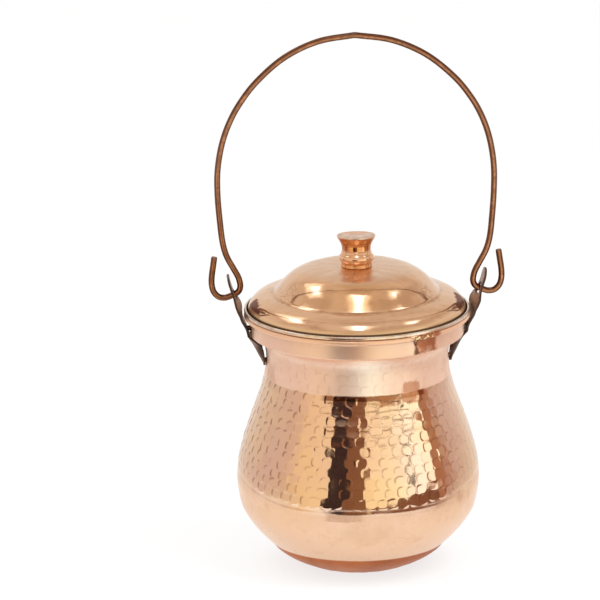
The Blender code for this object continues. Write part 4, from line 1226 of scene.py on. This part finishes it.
def make_floor():
    """A wide pale floor, its grid finer near the middle."""
    n = 24
    size = 14.0
    u = np.linspace(-1, 1, n + 1)
    u = np.sign(u) * np.abs(u) ** 1.8 * size
    xs, ys = np.meshgrid(u, u)
    verts = np.stack([xs.ravel(), ys.ravel(), np.full(xs.size, -0.00002)], axis=1)
    faces = [(j * (n + 1) + i, j * (n + 1) + i + 1, (j + 1) * (n + 1) + i + 1, (j + 1) * (n + 1) + i)
             for j in range(n) for i in range(n)]
    mesh = bpy.data.meshes.new("floor")
    mesh.from_pydata(verts.tolist(), [], faces)
    mesh.materials.append(flat_material("floor_pale", (0.22, 0.22, 0.22), 0.76))
    ob = bpy.data.objects.new("floor", mesh)
    bpy.context.scene.collection.objects.link(ob)
    return ob


CARD_R = 0.23
CARD_H = 0.27

# light on the studio's round screen, by angle from the camera's direction,
# counted positive to the right: (degrees, (red, green, blue))
SCREEN = [(-180, (0.95, 0.93, 0.90)), (-150, (0.90, 0.87, 0.84)), (-128, (0.80, 0.76, 0.73)),
          (-102, (0.75, 0.66, 0.62)), (-85, (0.73, 0.62, 0.58)), (-65, (0.75, 0.61, 0.53)),
          (-50, (0.94, 0.77, 0.53)), (-24.0, (1.00, 0.85, 0.60)),
          (-23.0, (0.05, 0.03, 0.028)), (-9.5, (0.05, 0.03, 0.028)), (-8.3, (0.25, 0.12, 0.065)),
          (5.0, (0.28, 0.14, 0.075)), (6.2, (1.10, 0.96, 0.66)), (28.0, (1.18, 1.13, 0.86)),
          (44.0, (1.34, 1.38, 1.22)), (52.0, (1.42, 1.46, 1.32)), (64.5, (1.36, 1.34, 1.14)),
          (66.5, (0.46, 0.22, 0.115)), (77.0, (0.48, 0.26, 0.17)), (87.0, (0.66, 0.53, 0.47)),
          (105.0, (0.72, 0.62, 0.58)), (135.0, (0.88, 0.84, 0.80)), (180, (0.95, 0.93, 0.90))]


def make_screen():
    """A round screen, seen only in reflections, that the polished copper mirrors."""
    n, rows = 180, 6
    verts, faces = [], []
    for k in range(rows + 1):
        for j in range(n):
            a = 2 * math.pi * j / n
            verts.append((CARD_R * math.cos(a), CARD_R * math.sin(a), CARD_H * k / rows))
    for k in range(rows):
        for j in range(n):
            i = (j + 1) % n
            faces.append((k * n + j, k * n + i, (k + 1) * n + i, (k + 1) * n + j))
    mesh = bpy.data.meshes.new("studio_screen")
    mesh.from_pydata(verts, [], faces)
    mesh.shade_smooth()
    mat = bpy.data.materials.new("studio_screen_light")
    mat.use_nodes = True
    t = Tree(mat.node_tree)
    t.tree.nodes.remove(t.tree.nodes["Principled BSDF"])
    at, x, y, z, r = t.place()
    # angle from the camera's direction, to the right
    cx, cy = -math.sin(TURN), -math.cos(TURN)
    along = t.math("ADD", t.math("MULTIPLY", x, cx), t.math("MULTIPLY", y, cy))
    across = t.math("ADD", t.math("MULTIPLY", x, -cy), t.math("MULTIPLY", y, cx))
    angle = t.math("MULTIPLY", t.math("ARCTAN2", across, along), 180 / math.pi)
    ragged = t.math("MULTIPLY", t.math("SUBTRACT", t.noise(at, 22.0, 3.0), 0.5), 4.0)
    angle = t.math("ADD", angle, ragged)
    # the dark upright thing in front is wider at its foot
    spread = t.math("ADD", t.step(z, 0.060, 0.010, 1.0, 0.80), t.step(z, 0.120, 0.180, 0.0, -0.08))
    near = t.math("LESS_THAN", t.math("ABSOLUTE", angle), 40.0)
    angle = t.math("MULTIPLY", angle, t.blend(near, 1.0, spread))
    share = t.math("ADD", t.math("DIVIDE", angle, 360.0), 0.5, clamp=True)
    top = 1.5
    light = t.ramp(share, [((a + 180) / 360, tuple(c / top for c in col)) for a, col in SCREEN])
    # a thin dark bar in the bright part, like that of a window
    bar = t.step(t.math("ABSOLUTE", t.math("SUBTRACT", angle, 43.5)), 1.15, 0.70)
    bar = t.math("MULTIPLY", bar, t.step(z, 0.012, 0.030))
    light = t.mix(t.math("MULTIPLY", bar, 0.93), light, (0.075 / top, 0.060 / top, 0.030 / top))
    # brown things low down at the right, as high as they are far round
    low = t.math("ADD", 0.016, t.math("MULTIPLY", t.math("MAXIMUM", t.math("SUBTRACT", angle, 8.0), 0.0), 0.0008))
    low = t.math("ADD", low, t.math("MULTIPLY", t.math("SUBTRACT", t.noise(at, 40.0, 2.0), 0.5), 0.025))
    under = t.step(t.math("SUBTRACT", z, low), 0.004, -0.004)
    span = t.math("MULTIPLY", t.step(angle, 5.0, 8.0), t.step(angle, 72.0, 66.0))
    light = t.mix(t.math("MULTIPLY", under, span), light, (0.26 / top, 0.12 / top, 0.065 / top))
    # a ragged dark ledge high up in front, seen in the shoulder of the belly
    ledge = t.math("SUBTRACT", z, t.math("ADD", 0.181, t.math("MULTIPLY", t.math("SUBTRACT", t.noise(at, 60.0, 3.0), 0.5), 0.010)))
    ledge = t.step(t.math("ABSOLUTE", ledge), 0.0032, 0.0018)
    ledge = t.math("MULTIPLY", ledge, t.math("MULTIPLY", t.step(angle, -34.0, -30.0), t.step(angle, 66.0, 58.0)))
    light = t.mix(t.math("MULTIPLY", ledge, 0.85), light, (0.20 / top, 0.085 / top, 0.045 / top))
    # away from the front the screen fades into the pale floor
    foot = t.math("MULTIPLY", t.step(z, 0.045, 0.0, 0.0, 0.85), t.step(t.math("ABSOLUTE", t.math("SUBTRACT", angle, 8.0)), 52.0, 80.0))
    light = t.mix(foot, light, (0.98 / top, 0.95 / top, 0.90 / top))
    # thin out to the room's own light towards the upper edge
    glow = t.add("ShaderNodeEmission")
    t.put(light, glow.inputs["Color"])
    glow.inputs["Strength"].default_value = top
    clear = t.add("ShaderNodeBsdfTransparent")
    join = t.add("ShaderNodeMixShader")
    t.put(t.step(z, CARD_H * 0.70, CARD_H * 0.98), join.inputs["Fac"])
    t.put(glow.outputs[0], join.inputs[1])
    t.put(clear.outputs[0], join.inputs[2])
    t.put(join.outputs[0], t.tree.nodes["Material Output"].inputs["Surface"])
    mesh.materials.append(mat)
    ob = bpy.data.objects.new("studio_screen", mesh)
    bpy.context.scene.collection.objects.link(ob)
    ob.visible_camera = False
    ob.visible_diffuse = False
    ob.visible_shadow = False
    ob.visible_transmission = False
    ob.visible_volume_scatter = False
    return ob


def make_world():
    world = bpy.data.worlds.new("studio")
    bpy.context.scene.world = world
    world.use_nodes = True
    t = Tree(world.node_tree)
    back = world.node_tree.nodes["Background"]
    d = t.add("ShaderNodeTexCoord").outputs["Generated"]
    sep = t.add("ShaderNodeSeparateXYZ")
    t.put(d, sep.inputs[0])
    x, y, z = sep.outputs
    cx, cy = -math.sin(TURN), -math.cos(TURN)
    along = t.math("ADD", t.math("MULTIPLY", x, cx), t.math("MULTIPLY", y, cy))
    across = t.math("ADD", t.math("MULTIPLY", x, -cy), t.math("MULTIPLY", y, cx))
    up = t.math("MAXIMUM", z, 0.05)
    px = t.math("DIVIDE", across, up)          # right, on a ceiling at height 1
    py = t.math("DIVIDE", along, up)           # towards the camera
    cloud = t.noise(d, 2.2, 3.0, 0.5)
    room = t.mix(t.step(cloud, 0.35, 0.65), (0.62, 0.49, 0.38), (0.80, 0.68, 0.56))
    # paler towards the back wall and lower down
    room = t.mix(t.step(z, 0.62, 0.25), room, (0.86, 0.80, 0.73))

    def pane(mx, my, ux, uy, length, width, soft):
        """A skylight round (mx, my), its long side along (ux, uy)."""
        norm = math.hypot(ux, uy)
        ux, uy = ux / norm, uy / norm
        dx, dy = t.math("SUBTRACT", px, mx), t.math("SUBTRACT", py, my)
        u = t.math("ABSOLUTE", t.math("ADD", t.math("MULTIPLY", dx, ux), t.math("MULTIPLY", dy, uy)))
        v = t.math("ABSOLUTE", t.math("SUBTRACT", t.math("MULTIPLY", dx, uy), t.math("MULTIPLY", dy, ux)))
        inside = t.math("MULTIPLY", t.step(u, length + soft, length - soft), t.step(v, width + soft, width - soft))
        return t.math("MULTIPLY", inside, t.math("GREATER_THAN", z, 0.1))

    wings = pane(0.03, 0.34, 0.0, 1.0, 0.24, 0.17, 0.07)
    wings = t.math("MAXIMUM", wings, pane(-0.65, -0.50, -0.40, 0.97, 0.46, 0.21, 0.07))
    wings = t.math("MAXIMUM", wings, pane(0.65, -0.11, 0.215, 0.455, 0.22, 0.11, 0.05))
    core = pane(0.02, 0.40, 0.0, 1.0, 0.34, 0.075, 0.03)
    core = t.math("MAXIMUM", core, pane(-0.60, -0.42, -0.40, 0.97, 0.26, 0.09, 0.05))
    core = t.math("MAXIMUM", core, pane(0.65, -0.13, 0.215, 0.455, 0.10, 0.06, 0.04))
    wings = t.math("MULTIPLY", wings, t.step(t.noise(d, 14.0, 3.0), 0.30, 0.52, 0.45, 1.0))
    glossy = t.mix(wings, room, (1.50, 1.42, 1.22))
    glossy = t.mix(core, glossy, (2.9, 3.1, 3.7))
    path = t.add("ShaderNodeLightPath")
    seen = t.mix(path.outputs["Is Glossy Ray"], (0.90, 0.90, 0.90), glossy)
    seen = t.mix(path.outputs["Is Camera Ray"], seen, (0.985, 0.985, 0.985))
    t.put(seen, back.inputs["Color"])
    back.inputs["Strength"].default_value = 1.0


def direction(azimuth, elevation):
    """Unit vector; azimuth from the camera's direction, positive to the right, in degrees."""
    a, e = math.radians(azimuth), math.radians(elevation)
    base = Vector((-math.sin(TURN), -math.cos(TURN), 0))
    flat = Matrix.Rotation(a, 3, 'Z') @ base
    return Vector((flat.x * math.cos(e), flat.y * math.cos(e), math.sin(e)))


def make_lights():
    for name, az, el, dist, size, power in (("key_light", 60, 52, 1.6, 0.9, 14.0),
                                             ("fill_light", -70, 48, 1.8, 1.2, 9.0)):
        data = bpy.data.lights.new(name, 'AREA')
        data.shape = 'SQUARE'
        data.size = size
        data.energy = power
        ob = bpy.data.objects.new(name, data)
        bpy.context.scene.collection.objects.link(ob)
        d = direction(az, el)
        ob.location = Vector((0, 0, 0.12)) + d * dist
        ob.rotation_mode = 'QUATERNION'
        ob.rotation_quaternion = d.to_track_quat('Z', 'Y')
        ob.visible_glossy = False
        ob.visible_camera = False


def make_camera():
    data = bpy.data.cameras.new("camera")
    data.sensor_width = 36.0
    data.lens = 36.0 * DISTANCE / FIELD
    data.clip_start, data.clip_end = 0.5, 60.0
    cam = bpy.data.objects.new("camera", data)
    bpy.context.scene.collection.objects.link(cam)
    back = direction(0, math.degrees(ELEVATION))
    right = Matrix.Rotation(math.pi / 2, 3, 'Z') @ Vector((-math.sin(TURN), -math.cos(TURN), 0))
    aim = Vector((0, 0, AIM_HEIGHT)) - right * AIM_LEFT
    cam.location = aim + back * DISTANCE
    look = (-back).to_track_quat('-Z', 'Y').to_matrix().to_4x4()
    cam.matrix_world = Matrix.Translation(cam.location) @ look @ Matrix.Rotation(-ROLL, 4, 'Z')
    bpy.context.scene.camera = cam
    bpy.context.scene.view_settings.view_transform = 'Standard'
    bpy.context.scene.view_settings.look = 'None'


# =================================================================== build
make_camera()
make_world()
make_lights()
make_floor()
make_screen()

tin = tin_material()
iron = iron_material()
make_pot([pot_material(), tin])
make_band(band_material())
make_ear("ear_strap_right", 1, iron, "ear_right")
make_ear("ear_strap_left", -1, iron, "ear_left")
rivet = plain_metal("rivet_iron_look", (0.34, 0.25, 0.20), (0.13, 0.085, 0.065), 0.30)
for word, side in (("right", 1), ("left", -1)):
    make_rivet(f"rivet_{word}_low", side, RIVET_LOW_Z, NECK_R - SHEET, rivet, f"ear_rivet_{word}_low")
    make_rivet(f"rivet_{word}_high", side, RIVET_HIGH_Z, COLLAR_R - COLLAR_T, rivet, f"ear_rivet_{word}_high")
make_bail(wire_material())
make_lid([lid_material(), tin])
make_knob(knob_material())
make_stud(plain_metal("stud_copper_look", (0.78, 0.48, 0.33), (0.50, 0.27, 0.17), 0.22))
make_washer(plain_metal("washer_brass_look", (0.72, 0.56, 0.32), (0.48, 0.35, 0.19), 0.24))
